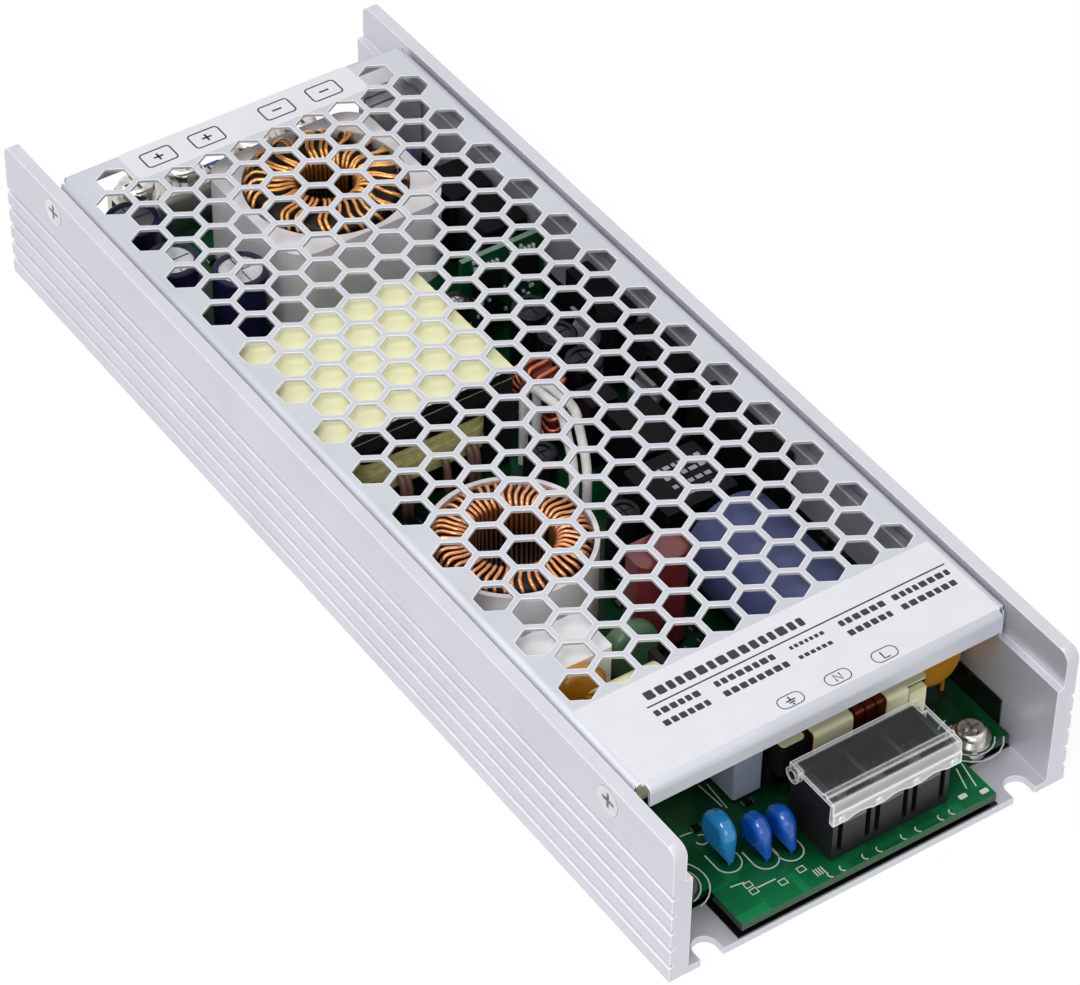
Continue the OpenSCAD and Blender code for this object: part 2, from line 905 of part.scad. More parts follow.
module y_capacitor_2() {
  color([0.1, 0.4, 0.8])
    translate([y_cap_x[1], y_cap_y[1], top])
      teardrop_capacitor(y_cap_small_d);
}

module y_capacitor_3() {
  color([0.1, 0.4, 0.8])
    translate([y_cap_x[2], y_cap_y[2], top])
      teardrop_capacitor(y_cap_small_d);
}

module fuse() {
  cap_l = 3;
  cap_t = 0.3;
  lift = 1.2;
  color([0.12, 0.12, 0.13])
    translate([fuse_x, fuse_y, top]) {
      translate([0, 0, fuse_r + lift])
        rotate([-90, 0, 0]) {
          cylinder(r = fuse_r - cap_t, h = fuse_l);
          for (y = [0, fuse_l - cap_l])
            translate([0, 0, y])
              cylinder(r = fuse_r, h = cap_l);
        }
      for (y = [cap_l / 2, fuse_l - cap_l / 2])
        translate([0, y, 0])
          cylinder(r = 2 * lead_r, h = fuse_r + lift, $fn = 16);
    }
}

// Boxed film capacitor that stands on the board, corner at the origin
module box_capacitor(w, l, h) {
  edge = 0.6;
  feet = 0.5;
  translate([w / 2, l / 2, feet])
    rounded_block(w, l, h - feet, edge);
  for (x = [0.15, 0.85], y = [0.15, 0.85])
    translate([x * w, y * l, 0])
      cylinder(r = edge, h = 2 * feet, $fn = 16);
}

module x_capacitor_front() {
  color([0.62, 0.66, 0.74])
    translate([x_front_x, x_front_y, top])
      box_capacitor(x_front_w, x_front_l, x_front_h);
}

module line_choke_core() {
  foot = 4;
  color([0.16, 0.16, 0.17]) {
    translate([line_x + line_w / 2, line_y + line_l / 2, line_core_z])
      linear_extrude(line_core_h)
        rounded_ring(line_w, line_l - 2 * line_turn_t, 1, line_bar - line_turn_t);
    for (x = [foot / 2, line_w - foot / 2])
      translate([line_x + x, line_y + line_l / 2, top])
        rounded_block(foot, line_l - 2 * line_bar, line_core_z - top, 0.5);
  }
}

// Sleeve of given length along X round a bar of the line choke
module bar_sleeve(l, t_in, t) {
  w = line_bar - line_turn_t + 2 * t_in;
  h = line_core_h + 2 * t_in;
  rotate([90, 0, 90])
    linear_extrude(l)
      rounded_ring(w + 2 * t, h + 2 * t, 1, t);
}

module line_choke_windings() {
  turn = 1.1;
  turns = floor((line_w - 2 * line_bar) / turn);
  color([0.48, 0.2, 0.12])
    for (y = [line_turn_t + (line_bar - line_turn_t) / 2,
              line_l - line_turn_t - (line_bar - line_turn_t) / 2])
      translate([line_x + line_bar + 0.5, line_y + y, line_core_z + line_core_h / 2])
        for (i = [0 : turns - 1])
          translate([i * turn, 0, 0])
            bar_sleeve(turn - (i % 2) * 0.2, fit_gap, line_turn_t - fit_gap - tape_t - (i % 2) * 0.15);
}

module line_choke_tape() {
  wound = line_w - 2 * line_bar;
  near_l = 0.4 * wound;
  far_l = 0.22 * wound;
  end_l = line_bar - 0.3;
  edge = 0.8;
  color([0.92, 0.91, 0.62]) {
    translate([line_x + line_bar + 0.5, line_y + line_turn_t + (line_bar - line_turn_t) / 2,
               line_core_z + line_core_h / 2]) {
      bar_sleeve(near_l, line_turn_t - tape_t, tape_t);
      translate([wound - far_l - 0.5, 0, 0])
        bar_sleeve(far_l, line_turn_t - tape_t, tape_t);
    }
    for (x = [end_l / 2, line_w - end_l / 2])
      translate([line_x + x, line_y + line_l / 2, line_core_z + line_core_h])
        rounded_block(end_l, line_l - 2 * line_turn_t, tape_t, edge);
    translate([line_x + line_w - end_l, line_y, line_core_z])
      cube([end_l - 1.2, line_turn_t, line_core_h - tape_t]);
  }
}

// Coated disc that stands across X on two leads
module standing_disc(d, t, lift) {
  translate([0, 0, lift + d / 2])
    rotate([90, 0, 0])
      coated_disc(d, t);
  lead_pair(d / 2, lift + d / 4);
}

module surge_disc() {
  color([0.8, 0.55, 0.12]) {
    translate([surge_x, surge_y, top])
      standing_disc(surge_d, disc_t, 3.4);
    translate([x_rear_x + 7.4, rear_disc_y, top])
      standing_disc(rear_disc_d, rear_disc_t, 9.8);
  }
}

filter_flange_t = 1.2;
filter_drum_r = 2.6;
filter_margin = 0.6;
filter_coil_w = filter_l - 2 * filter_margin;
filter_coil_h = filter_core_h - 2 * filter_margin;
filter_coil_l = filter_w - 2 * (filter_flange_t + fit_gap);

// Frame of the filter choke: the middle of its left end, with its axis along X
module at_filter() {
  translate([filter_x, filter_y + filter_l / 2, top + filter_core_h / 2])
    children();
}

// Block with round edges along X that is larger than the coil by grow on every side
module filter_coil(l, grow) {
  edge = 4;
  rotate([90, 0, 90])
    linear_extrude(l)
      rounded_square(filter_coil_w + 2 * grow, filter_coil_h + 2 * grow, edge);
}

module filter_choke_core() {
  color([0.13, 0.13, 0.14])
    at_filter() {
      for (x = [0, filter_w - filter_flange_t])
        translate([x, -filter_l / 2, -filter_core_h / 2])
          cube([filter_flange_t, filter_l, filter_core_h]);
      rotate([0, 90, 0])
        cylinder(r = filter_drum_r, h = filter_w);
    }
}

module filter_choke_winding() {
  turn = 1.5;
  ridge = 0.2;
  turns = floor(filter_coil_l / turn);
  color([0.78, 0.5, 0.12])
    at_filter()
      translate([filter_flange_t + fit_gap, 0, 0])
        difference() {
          union() {
            filter_coil(filter_coil_l, -ridge);
            for (i = [0 : turns - 1])
              translate([0.2 + i * turn, 0, 0])
                filter_coil(turn - 0.4, 0);
          }
          translate([-over, 0, 0])
            rotate([0, 90, 0])
              cylinder(r = filter_drum_r + fit_gap, h = filter_coil_l + 2 * over);
        }
}

module filter_choke_tape() {
  gap = 0.02;
  band_l = 0.6 * filter_w;
  color([0.92, 0.91, 0.62])
    at_filter()
      translate([filter_w - filter_flange_t - fit_gap - band_l, 0, 0])
        difference() {
          filter_coil(band_l, tape_t + gap);
          translate([-over, 0, 0])
            filter_coil(band_l + 2 * over, gap);
        }
}

module x_capacitor_rear() {
  color([0.92, 0.93, 0.93])
    translate([x_rear_x, x_rear_y, top])
      box_capacitor(x_rear_w, x_rear_l, x_rear_h);
}

module inrush_disc() {
  color([0.27, 0.41, 0.29])
    translate([inrush_x, inrush_y, top])
      standing_disc(inrush_d, disc_t, 5.5);
}

module film_capacitor() {
  edge = 2.4;
  lift = 1;
  color([0.38, 0.12, 0.12])
    translate([film_cap_x + film_cap_w / 2, film_cap_y + film_cap_l / 2, top]) {
      translate([0, 0, lift])
        rounded_block(film_cap_w, film_cap_l, film_cap_h - lift, edge);
      lead_pair(film_cap_w - 2 * edge, 2 * lift);
    }
}

module bulk_capacitor() {
  color([0.34, 0.36, 0.55])
    translate([bulk_x, bulk_y, top])
      lying_can(bulk_d, bulk_l);
}

module relay() {
  color([0.1, 0.1, 0.11])
    translate([relay_x, relay_y, top])
      box_capacitor(relay_w, relay_l, relay_h);
}

// Small black transformers that drive the power packages and carry the feedback
module drive_transformers() {
  color([0.1, 0.1, 0.11]) {
    translate([drive_x, drive_y, top])
      box_capacitor(drive_w, drive_l, drive_h);
    translate([feedback_x, feedback_y, top])
      box_capacitor(feedback_w, feedback_l, feedback_h);
  }
}

// Boost row

module bridge_rectifier() {
  lift = 3;
  chamfer = 2;
  lead_w = 1;
  color([0.12, 0.12, 0.13])
    translate([right - bridge_w, bridge_y, top]) {
      translate([0, 0, lift])
        rotate([90, 0, 90])
          linear_extrude(bridge_w)
            polygon([
              [0, 0], [bridge_l, 0], [bridge_l, bridge_h - lift - chamfer],
              [bridge_l - chamfer, bridge_h - lift], [0, bridge_h - lift]
            ]);
      for (i = [0.5 : 1 : 3.5])
        translate([bridge_w / 2 - lead_w / 2, i * bridge_l / 4 - lead_w / 2, 0])
          cube([lead_w, lead_w, lift]);
    }
}

boost_r_out = boost_d / 2 - cup_t - fit_gap;
boost_r_in = boost_turns * (boost_wire + 0.07) / (2 * PI);
boost_turn_h = boost_h - cup_t - fit_gap;

module boost_choke_cup() {
  color([0.88, 0.88, 0.87])
    translate([boost_x, boost_y, top])
      round_cup(boost_d, boost_h - 1.2, cup_t);
}

module boost_choke_core() {
  color([0.3, 0.3, 0.3])
    translate([boost_x, boost_y, top + cup_t + fit_gap])
      turn_core(boost_r_in, boost_r_out, boost_turn_h, boost_wire);
}

module boost_choke_winding() {
  color([0.72, 0.44, 0.22])
    translate([boost_x, boost_y, top + cup_t + fit_gap])
      wire_turns(boost_turns, boost_r_in, boost_r_out, boost_turn_h, boost_wire);
}

// Power packages on the right wall

// Places for the power packages along the wall
module at_packages() {
  for (i = [0 : package_count - 1])
    translate([right, package_y + i * (package_w + package_gap), top])
      children();
}

module power_transistors() {
  lead_w = 1.1;
  color([0.11, 0.11, 0.12])
    at_packages() {
      translate([-package_t, 0, package_lift])
        difference() {
          cube([package_t, package_w, package_h - package_lift]);
          translate([-over, package_w / 2, package_h - package_lift - 3.4])
            rotate([0, 90, 0])
              cylinder(r = 1.8, h = package_t + 2 * over);
        }
      for (i = [-1 : 1])
        translate([-package_t / 2 - lead_w / 2, package_w / 2 + i * package_w / 3 - lead_w / 2, 0])
          cube([lead_w, lead_w, package_lift]);
    }
}

// Leaf springs that stand on the board and press on the packages
module transistor_clips() {
  press = 0.02;
  clip_w = 7;
  foot = 4;
  color([0.62, 0.63, 0.65])
    at_packages()
      translate([-package_t - press, package_w / 2 + clip_w / 2, 0])
        rotate([90, 0, 0])
          linear_extrude(clip_w)
            polygon([
              [-foot - 1.5, 0], [-1.5, 0], [-1.5, 6], [0, 8], [0, 10], [-1.2, 12], [-2, 12],
              [-clip_t, 9.5], [-clip_t, 8.4], [-1.5 - clip_t, 6.3], [-1.5 - clip_t, clip_t],
              [-foot - 1.5, clip_t]
            ]);
}

// Transformer

xfmr_core_l = xfmr_l - 2 * xfmr_proud;
xfmr_core_h = xfmr_h - xfmr_base_t - tape_t;
xfmr_window = xfmr_core_h - 2 * xfmr_slab;

// Half of the ferrite core: slab, two outer legs and a round post
module core_half() {
  leg_h = xfmr_slab + xfmr_window / 2;
  translate([-xfmr_w / 2, -xfmr_core_l / 2, 0]) {
    cube([xfmr_w, xfmr_core_l, xfmr_slab]);
    for (x = [0, xfmr_w - xfmr_leg])
      translate([x, 0, 0])
        cube([xfmr_leg, xfmr_core_l, leg_h]);
  }
  cylinder(r = xfmr_post_r, h = leg_h);
}

module transformer_core_lower() {
  color([0.1, 0.1, 0.1])
    translate([xfmr_x, xfmr_y, top + xfmr_base_t])
      core_half();
}

module transformer_core_upper() {
  color([0.1, 0.1, 0.1])
    translate([xfmr_x, xfmr_y, top + xfmr_base_t + xfmr_core_h])
      rotate([180, 0, 0])
        core_half();
}

// Plan of the coil space inside the core window
module coil_outline(shrink) {
  difference() {
    rounded_square(xfmr_w - 2 * (xfmr_leg + shrink), xfmr_l - 2 * shrink, xfmr_corner);
    circle(xfmr_post_r + bobbin_t + fit_gap);
  }
}

module transformer_bobbin() {
  window_z = top + xfmr_base_t + xfmr_slab;
  color([0.08, 0.08, 0.08])
    translate([xfmr_x, xfmr_y, 0]) {
      for (z = [window_z + fit_gap / 2, window_z + xfmr_window - bobbin_t - fit_gap / 2])
        translate([0, 0, z])
          linear_extrude(bobbin_t)
            coil_outline(fit_gap);
      translate([0, 0, window_z + fit_gap / 2])
        difference() {
          cylinder(r = xfmr_post_r + bobbin_t + 2 * fit_gap, h = xfmr_window - fit_gap);
          translate([0, 0, -over])
            cylinder(r = xfmr_post_r + fit_gap, h = xfmr_window + 2 * over);
        }
      for (x = [-1, 1], y = [-1, 1])
        translate([x * (xfmr_w - xfmr_foot) / 2, y * (xfmr_core_l - xfmr_foot) / 2, top])
          rounded_block(xfmr_foot, xfmr_foot, xfmr_base_t, xfmr_foot / 5);
    }
}

module transformer_winding() {
  coil_h = xfmr_window - 2 * bobbin_t - fit_gap;
  coil_inset = 0.5;
  coil_step = 0.4;
  layers = 5;
  color([0.62, 0.6, 0.3])
    translate([xfmr_x, xfmr_y, top + xfmr_base_t + xfmr_slab + bobbin_t + fit_gap / 2])
      difference() {
        union()
          for (i = [0 : layers - 1])
            translate([0, 0, i * coil_h / layers])
              linear_extrude(coil_h / layers)
                rounded_square(xfmr_w - 2 * (xfmr_leg + coil_inset) - (i % 2) * coil_step,
                               xfmr_l - 2 * coil_inset - (i % 2) * coil_step, xfmr_corner);
        translate([0, 0, -over])
          cylinder(r = xfmr_post_r + bobbin_t + 3 * fit_gap, h = coil_h + 2 * over);
      }
}

module transformer_tape() {
  drop = 1.8;
  color([0.93, 0.92, 0.66])
    translate([xfmr_x, xfmr_y, top + xfmr_base_t + xfmr_core_h - drop])
      difference() {
        translate([-xfmr_w / 2 - tape_t, -xfmr_core_l / 2 - tape_t, 0])
          cube([xfmr_w + 2 * tape_t, xfmr_core_l + 2 * tape_t, drop + tape_t]);
        translate([-xfmr_w / 2, -xfmr_core_l / 2, -over])
          cube([xfmr_w, xfmr_core_l, drop + over]);
      }
}

// Small parts beside the transformer

resonant_wire = 0.85;
resonant_turns = 16;
resonant_r_in = 2.6;

// Frame of the small choke: its ring stands up across X
module at_resonant() {
  translate([resonant_x, resonant_y, top + resonant_d / 2])
    rotate([0, 90, 0])
      children();
}

module resonant_choke_core() {
  color([0.25, 0.25, 0.24])
    at_resonant()
      turn_core(resonant_r_in, resonant_d / 2, resonant_t, resonant_wire);
}

module resonant_choke_winding() {
  color([0.8, 0.3, 0.16])
    at_resonant()
      wire_turns(resonant_turns, resonant_r_in, resonant_d / 2, resonant_t, resonant_wire);
}

// Upright cans: a row beside the small choke, one by the control board and two by the boost choke
module small_capacitors() {
  slim_d = 5;
  color([0.12, 0.12, 0.14]) {
    for (i = [0 : 2])
      translate([small_cap_x, small_cap_y + i * small_cap_pitch, top])
        upright_can(small_cap_d, small_cap_h);
    translate([control_x - slim_d / 2 - 0.8, control_y - slim_d / 2 - 0.7, top])
      upright_can(slim_d, small_cap_h);
    translate([boost_x + boost_d / 2 + 3.2, boost_rear + 2.8, top])
      upright_can(small_cap_d - 1.2, small_cap_h);
    translate([boost_x + boost_d / 2 + 6.6, boost_y - 2.4, top])
      upright_can(small_cap_d - 1.2, small_cap_h);
  }
}

// Half of a lead: up from the board, over, and level for the rest of the run
module lead_half(place, heading, run) {
  rise = lead_wire_z - top - lead_wire_bend;
  translate([place[0], place[1], top])
    rotate([0, 0, heading]) {
      cylinder(r = lead_wire_r, h = rise);
      translate([lead_wire_bend, 0, rise])
        rotate([90, 0, 180])
          rotate_extrude(angle = 90)
            translate([lead_wire_bend, 0])
              circle(lead_wire_r);
      translate([lead_wire_bend, 0, rise + lead_wire_bend])
        rotate([0, 90, 0])
          cylinder(r = lead_wire_r, h = run - lead_wire_bend);
    }
}

// Insulated lead: up from the board at a, level with one right turn at c, and down again at b
module jumper(a, c, b) {
  swell = 0.05;
  bury = 0.3;
  ahead = (c - a) / norm(c - a);
  away = (b - c) / norm(b - c);
  first = atan2(ahead[1], ahead[0]);
  second = atan2(away[1], away[0]);
  tangent = lead_wire_turn * tan((first - second) / 2);
  centre = c - tangent * ahead + lead_wire_turn * [ahead[1], -ahead[0]];
  lead_half(a, first, norm(c - a) - tangent + bury);
  lead_half(b, second + 180, norm(b - c) - tangent + bury);
  translate([centre[0], centre[1], lead_wire_z])
    rotate([0, 0, second + 90])
      rotate_extrude(angle = first - second)
        translate([lead_wire_turn, 0])
          circle(lead_wire_r + swell);
}

module lead_wires() {
  color([0.9, 0.9, 0.88])
    for (i = [0, 1])
      jumper(lead_wire_from + i * lead_wire_shift, lead_wire_corner + i * lead_wire_shift,
             lead_wire_to + i * lead_wire_shift);
}

module control_board() {
  color([0.08, 0.4, 0.24])
    translate([control_x, control_y, top])
      cube([control_w, control_t, control_h]);
}

module control_chips() {
  chip_t = 1.5;
  color([0.1, 0.1, 0.11])
    translate([control_x, control_y - chip_t, top]) {
      for (x = [0.12, 0.56])
        translate([x * control_w, 0, 0.55 * control_h])
          cube([0.32 * control_w, chip_t, 0.3 * control_h]);
      translate([0.2 * control_w, 0, 0.15 * control_h])
        cube([0.25 * control_w, chip_t, 0.25 * control_h]);
    }
}

module rectifier_packages() {
  chip = [5, 6, 1.1];
  potted = [9.4, 10, 15];
  pitch = 6.4;
  first_x = right - potted[0] - 1.4 - chip[0];
  room_y = control_y + control_t;
  room_l = out_choke_y - out_choke_d / 2 - room_y - chip[1];
  color([0.11, 0.11, 0.12]) {
    for (i = [0 : 3])
      translate([first_x - i * pitch, room_y + 0.38 * room_l, top])
        cube(chip);
    for (i = [0, 1])
      translate([right - potted[0] - part_gap, room_y + 8 + i * (potted[1] + 1.5), top])
        box_capacitor(potted[0], potted[1], potted[2]);
  }
}

// Output side

module rectifier_heatsink() {
  base_t = 3;
  fin_t = 2;
  fins = 3;
  color([0.6, 0.61, 0.63])
    translate([right - sink_w - 0.2, sink_y, top])
      linear_extrude(sink_h) {
        translate([sink_w - base_t, 0])
          square([base_t, sink_l]);
        for (i = [0 : fins - 1])
          translate([0, i * (sink_l - fin_t) / (fins - 1)])
            square([sink_w, fin_t]);
      }
}

out_choke_r_out = out_choke_d / 2 - cup_t - out_choke_room;
out_choke_r_in = out_choke_turns * (out_choke_wire + 0.08) / (2 * PI);
out_choke_turn_h = out_choke_h - cup_t - fit_gap;

module output_choke_cup() {
  color([0.88, 0.88, 0.87])
    translate([out_choke_x, out_choke_y, top])
      bored_case(out_choke_d, 2 * (out_choke_r_out + fit_gap + cup_t), out_choke_h - 1.8, out_choke_corner,
                 out_choke_r_out + fit_gap, cup_t);
}

module output_choke_core() {
  color([0.3, 0.3, 0.3])
    translate([out_choke_x, out_choke_y, top + cup_t + fit_gap])
      turn_core(out_choke_r_in, out_choke_r_out, out_choke_turn_h, out_choke_wire);
}

module output_choke_winding() {
  color([0.74, 0.46, 0.2])
    translate([out_choke_x, out_choke_y, top + cup_t + fit_gap])
      wire_turns(out_choke_turns, out_choke_r_in, out_choke_r_out, out_choke_turn_h, out_choke_wire);
}

module output_capacitors() {
  color([0.13, 0.13, 0.25])
    for (place = out_cap_at)
      translate([place[0], place[1], top])
        upright_can(out_cap_d, out_cap_h);
}

module bypass_disc() {
  color([0.1, 0.4, 0.8])
    translate([bypass_x, bypass_y, top])
      standing_disc(bypass_d, disc_t, 6);
}

// Output bar: folded strip on two feet, with two tapped holes
module output_bar() {
  inner_d = bar_d - 2 * bar_t;
  difference() {
    translate([-bar_l / 2, out_y, top])
      rotate([90, 0, 90])
        linear_extrude(bar_l)
          difference() {
            translate([-bar_d / 2, 0])
              square([bar_d, bar_h]);
            translate([-inner_d / 2, -over])
              square([inner_d, bar_h - bar_t + over]);
            for (s = [-1, 1])
              translate([s * (bar_d / 2 - bar_t), bar_h - bar_t])
                difference() {
                  translate([s > 0 ? 0 : -2 * bar_t, 0])
                    square(2 * bar_t);
                  circle(bar_t);
                }
          }
    for (s = [-1, 1])
      translate([s * bar_screw_pitch / 2, out_y, top])
        cylinder(r = out_screw_r + screw_clear, h = bar_h + over);
  }
}

module output_bar_plus() {
  color([0.8, 0.79, 0.76])
    translate([-bar_offset, 0, 0])
      output_bar();
}

module output_bar_minus() {
  color([0.8, 0.79, 0.76])
    translate([bar_offset, 0, 0])
      output_bar();
}

module output_screws() {
  color([0.74, 0.73, 0.7])
    for (x = [-1, 1], s = [-1, 1])
      translate([x * bar_offset + s * bar_screw_pitch / 2, out_y, top + bar_h])
        washer_screw(out_screw_r, out_head_r, out_head_r + 0.8, bar_h - 2);
}

module trimmer_body() {
  color([0.16, 0.3, 0.62])
    translate([0, out_y + 2, top])
      difference() {
        rounded_block(trimmer_w, trimmer_w, trimmer_h, 0.5);
        translate([0, 0, trimmer_h - rotor_h + 0.4])
          cylinder(r = rotor_r + rotor_clear, h = rotor_h + over);
      }
}

module trimmer_rotor() {
  slot_w = 0.6;
  slot_h = 0.7;
  color([0.9, 0.88, 0.8])
    translate([0, out_y + 2, top + trimmer_h - rotor_h + 0.4])
      difference() {
        cylinder(r = rotor_r, h = rotor_h);
        translate([-rotor_r, -slot_w / 2, rotor_h - slot_h])
          cube([2 * rotor_r, slot_w, slot_h + over]);
        translate([-slot_w / 2, -rotor_r, rotor_h - slot_h])
          cube([slot_w, 2 * rotor_r, slot_h + over]);
      }
}

module indicator_lamp() {
  rim_r = lamp_r + 0.35;
  color([0.3, 0.75, 0.35])
    translate([lamp_x, out_y + 2, top]) {
      cylinder(r = rim_r, h = 1);
      cylinder(r = lamp_r, h = lamp_h - lamp_r);
      translate([0, 0, lamp_h - lamp_r])
        sphere(lamp_r);
    }
}

base_channel();
cover();
cover_screws();
insulation_tray();
main_board();
board_standoffs();
board_screws();
terminal_block();
terminal_contacts();
terminal_screws();
terminal_cover();
y_capacitor_1();
y_capacitor_2();
y_capacitor_3();
fuse();
x_capacitor_front();
line_choke_core();
line_choke_windings();
line_choke_tape();
surge_disc();
filter_choke_core();
filter_choke_winding();
filter_choke_tape();
x_capacitor_rear();
inrush_disc();
film_capacitor();
bulk_capacitor();
relay();
drive_transformers();
bridge_rectifier();
boost_choke_cup();
boost_choke_core();
boost_choke_winding();
power_transistors();
transistor_clips();
transformer_core_lower();
transformer_core_upper();
transformer_bobbin();
transformer_winding();
transformer_tape();
resonant_choke_core();
resonant_choke_winding();
small_capacitors();
lead_wires();
control_board();
control_chips();
rectifier_packages();
rectifier_heatsink();
output_choke_cup();
output_choke_core();
output_choke_winding();
output_capacitors();
bypass_disc();
output_bar_plus();
output_bar_minus();
output_screws();
trimmer_body();
trimmer_rotor();
indicator_lamp();
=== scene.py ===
# %% [markdown]
# # A slim enclosed power supply
#
# The solids of this power supply come ready from the frame: a grooved aluminium channel, a punched
# honeycomb cover and the board with its parts. This lesson gives them their finishes, winds the chokes
# with round wire, prints the cover and the board, and lights it all as in a product picture.
# Everything is in metres, and lengths are written in millimetres and multiplied by MM.

# %% The frame
import math
import random

import bpy
from mathutils import Matrix, Vector


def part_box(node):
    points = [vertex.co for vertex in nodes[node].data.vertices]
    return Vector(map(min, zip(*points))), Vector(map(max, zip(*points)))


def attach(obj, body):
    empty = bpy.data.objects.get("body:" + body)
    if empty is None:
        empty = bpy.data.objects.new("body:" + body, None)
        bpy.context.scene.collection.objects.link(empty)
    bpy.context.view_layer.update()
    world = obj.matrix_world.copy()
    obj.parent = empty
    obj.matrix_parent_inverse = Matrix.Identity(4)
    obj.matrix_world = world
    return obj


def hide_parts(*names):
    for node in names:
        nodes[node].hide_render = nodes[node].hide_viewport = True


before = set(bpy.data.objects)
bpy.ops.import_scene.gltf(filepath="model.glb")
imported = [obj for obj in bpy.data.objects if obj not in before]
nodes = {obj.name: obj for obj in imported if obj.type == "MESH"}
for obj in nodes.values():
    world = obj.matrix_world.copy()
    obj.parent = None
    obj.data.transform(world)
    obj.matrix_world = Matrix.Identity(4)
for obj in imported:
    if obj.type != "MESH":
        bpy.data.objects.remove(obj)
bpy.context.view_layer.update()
MM = 0.001
random.seed(11)

# %% [markdown]
# ## Camera
#
# A product picture of a long flat thing is taken from far away with a long lens, so that its edges stay
# nearly parallel. The camera could be placed by eye. Here it is placed by numbers: where it aims, how
# far it stands, its two angles and a small roll, and the lens given as a focal length in pixels.

# %% Camera
PHOTO_W, PHOTO_H = 1080, 985
FOCAL_PX = 4394.5
AXIS_PX = (507.4, 446.0)
AIM = Vector((0, 0, 15 * MM))
AZIMUTH, ELEVATION, ROLL = (math.radians(a) for a in (-34.48, 42.17, 0.64))
DISTANCE = 771.2 * MM
SENSOR = 36.0

to_camera = Vector((math.sin(AZIMUTH) * math.cos(ELEVATION),
                    -math.cos(AZIMUTH) * math.cos(ELEVATION),
                    math.sin(ELEVATION)))
level_right = Vector((math.cos(AZIMUTH), math.sin(AZIMUTH), 0))
level_up = to_camera.cross(level_right)
cam_right = level_right * math.cos(ROLL) + level_up * math.sin(ROLL)
cam_up = level_up * math.cos(ROLL) - level_right * math.sin(ROLL)

lens = bpy.data.cameras.new("photo_camera")
lens.sensor_width = SENSOR
lens.lens = SENSOR * FOCAL_PX / PHOTO_W
lens.shift_x = 0.5 - AXIS_PX[0] / PHOTO_W
lens.shift_y = (AXIS_PX[1] - PHOTO_H / 2) / PHOTO_W
camera = bpy.data.objects.new("photo_camera", lens)
bpy.context.scene.collection.objects.link(camera)
turn = Matrix((cam_right, cam_up, to_camera)).transposed().to_4x4()
camera.matrix_world = Matrix.Translation(AIM + to_camera * DISTANCE) @ turn
bpy.context.scene.camera = camera
print("lens", round(lens.lens, 1), "mm")

# %% [markdown]
# ## Helpers for node trees
#
# The world, the floor and every finish are trees of shader nodes. They could be clicked together in the
# shader editor. Written down, each takes a line for a node and a line for a link. "put" adds a node and
# sets its values, by name or, where several inputs share a name, by number.

# %% Helpers for node trees


def srgb(r, g, b):
    """A colour as read from a picture, 0 to 255, turned into light."""
    linear = [c / 255 / 12.92 if c <= 10.3 else ((c / 255 + 0.055) / 1.055) ** 2.4 for c in (r, g, b)]
    return (*linear, 1.0)


def put(tree, kind, at=None, **values):
    """Adds a node; sets its properties and inputs by name, and the inputs in "at" by their number."""
    made = tree.nodes.new("ShaderNode" + kind)
    for key, value in values.items():
        if hasattr(made, key):
            setattr(made, key, value)
        else:
            made.inputs[key.replace("_", " ").title()].default_value = value
    for number, value in (at or {}).items():
        made.inputs[number].default_value = value
    return made


def math_node(tree, operation, **more):
    """A node that reckons; what isn't linked to it is given in "at"."""
    return put(tree, "Math", operation=operation, **more)


def new_group(name, inputs, outputs):
    """A shader node group with named sockets; returns its tree, its inlet and its outlet."""
    tree = bpy.data.node_groups.new(name, "ShaderNodeTree")
    for label, kind, value in inputs:
        socket = tree.interface.new_socket(label, in_out="INPUT", socket_type="NodeSocket" + kind)
        socket.default_value = value
    for label, kind in outputs:
        tree.interface.new_socket(label, in_out="OUTPUT", socket_type="NodeSocket" + kind)
    return tree, tree.nodes.new("NodeGroupInput"), tree.nodes.new("NodeGroupOutput")


def use_group(tree, group, **values):
    """Places a node group in a material and sets its inputs by name."""
    made = tree.nodes.new("ShaderNodeGroup")
    made.node_tree = group
    for key, value in values.items():
        made.inputs[key.replace("_", " ").title()].default_value = value
    return made


print("middle grey as light:", round(srgb(128, 128, 128)[0], 3))

# %% [markdown]
# ## Lamps
#
# The picture is lit very softly: what lies just under the honeycomb is nearly as bright as the cover, and
# the board far below it is dark. One hard lamp would do for the case, but would draw a sharp net of
# shadows on the parts. Four soft boxes are used: a wide one overhead, a key lamp above the camera that
# looks through the same holes as the camera does, one in front for the terminals and one on the left for
# the long wall.

# %% Lamps
bpy.context.scene.view_settings.view_transform = "Standard"
LAMPS = {
    "overhead": (Vector((-0.25, 0.5, 1.4)), 1.3, 6.2),
    "key": (to_camera * 1.5 + level_up * 0.35 - level_right * 0.2, 0.5, 8.0),
    "front_box": (Vector((-0.45, -1.25, 0.75)), 0.6, 3.2),
    "left_box": (Vector((-1.3, -0.3, 0.9)), 0.9, 3.0),
}
for name, (away, size, watts) in LAMPS.items():
    lamp = bpy.data.lights.new(name, "AREA")
    lamp.size = size
    lamp.energy = watts
    softbox = bpy.data.objects.new(name, lamp)
    softbox.location = AIM + away
    softbox.rotation_mode = "QUATERNION"
    softbox.rotation_quaternion = (AIM - softbox.location).to_track_quat("-Z", "Y")
    bpy.context.scene.collection.objects.link(softbox)
    print("lamp:", name, watts, "W")

# %% [markdown]
# ## White world
#
# Metal looks like metal only if there is something to mirror. A picture of a studio could stand round
# the object. A plain white world is enough here: it is white for camera, mirror and glass rays, and weak
# as a light, so that the soft boxes still shape the object.

# %% White world
FILL = 0.32
world = bpy.data.worlds.new("studio")
bpy.context.scene.world = world
world.use_nodes = True


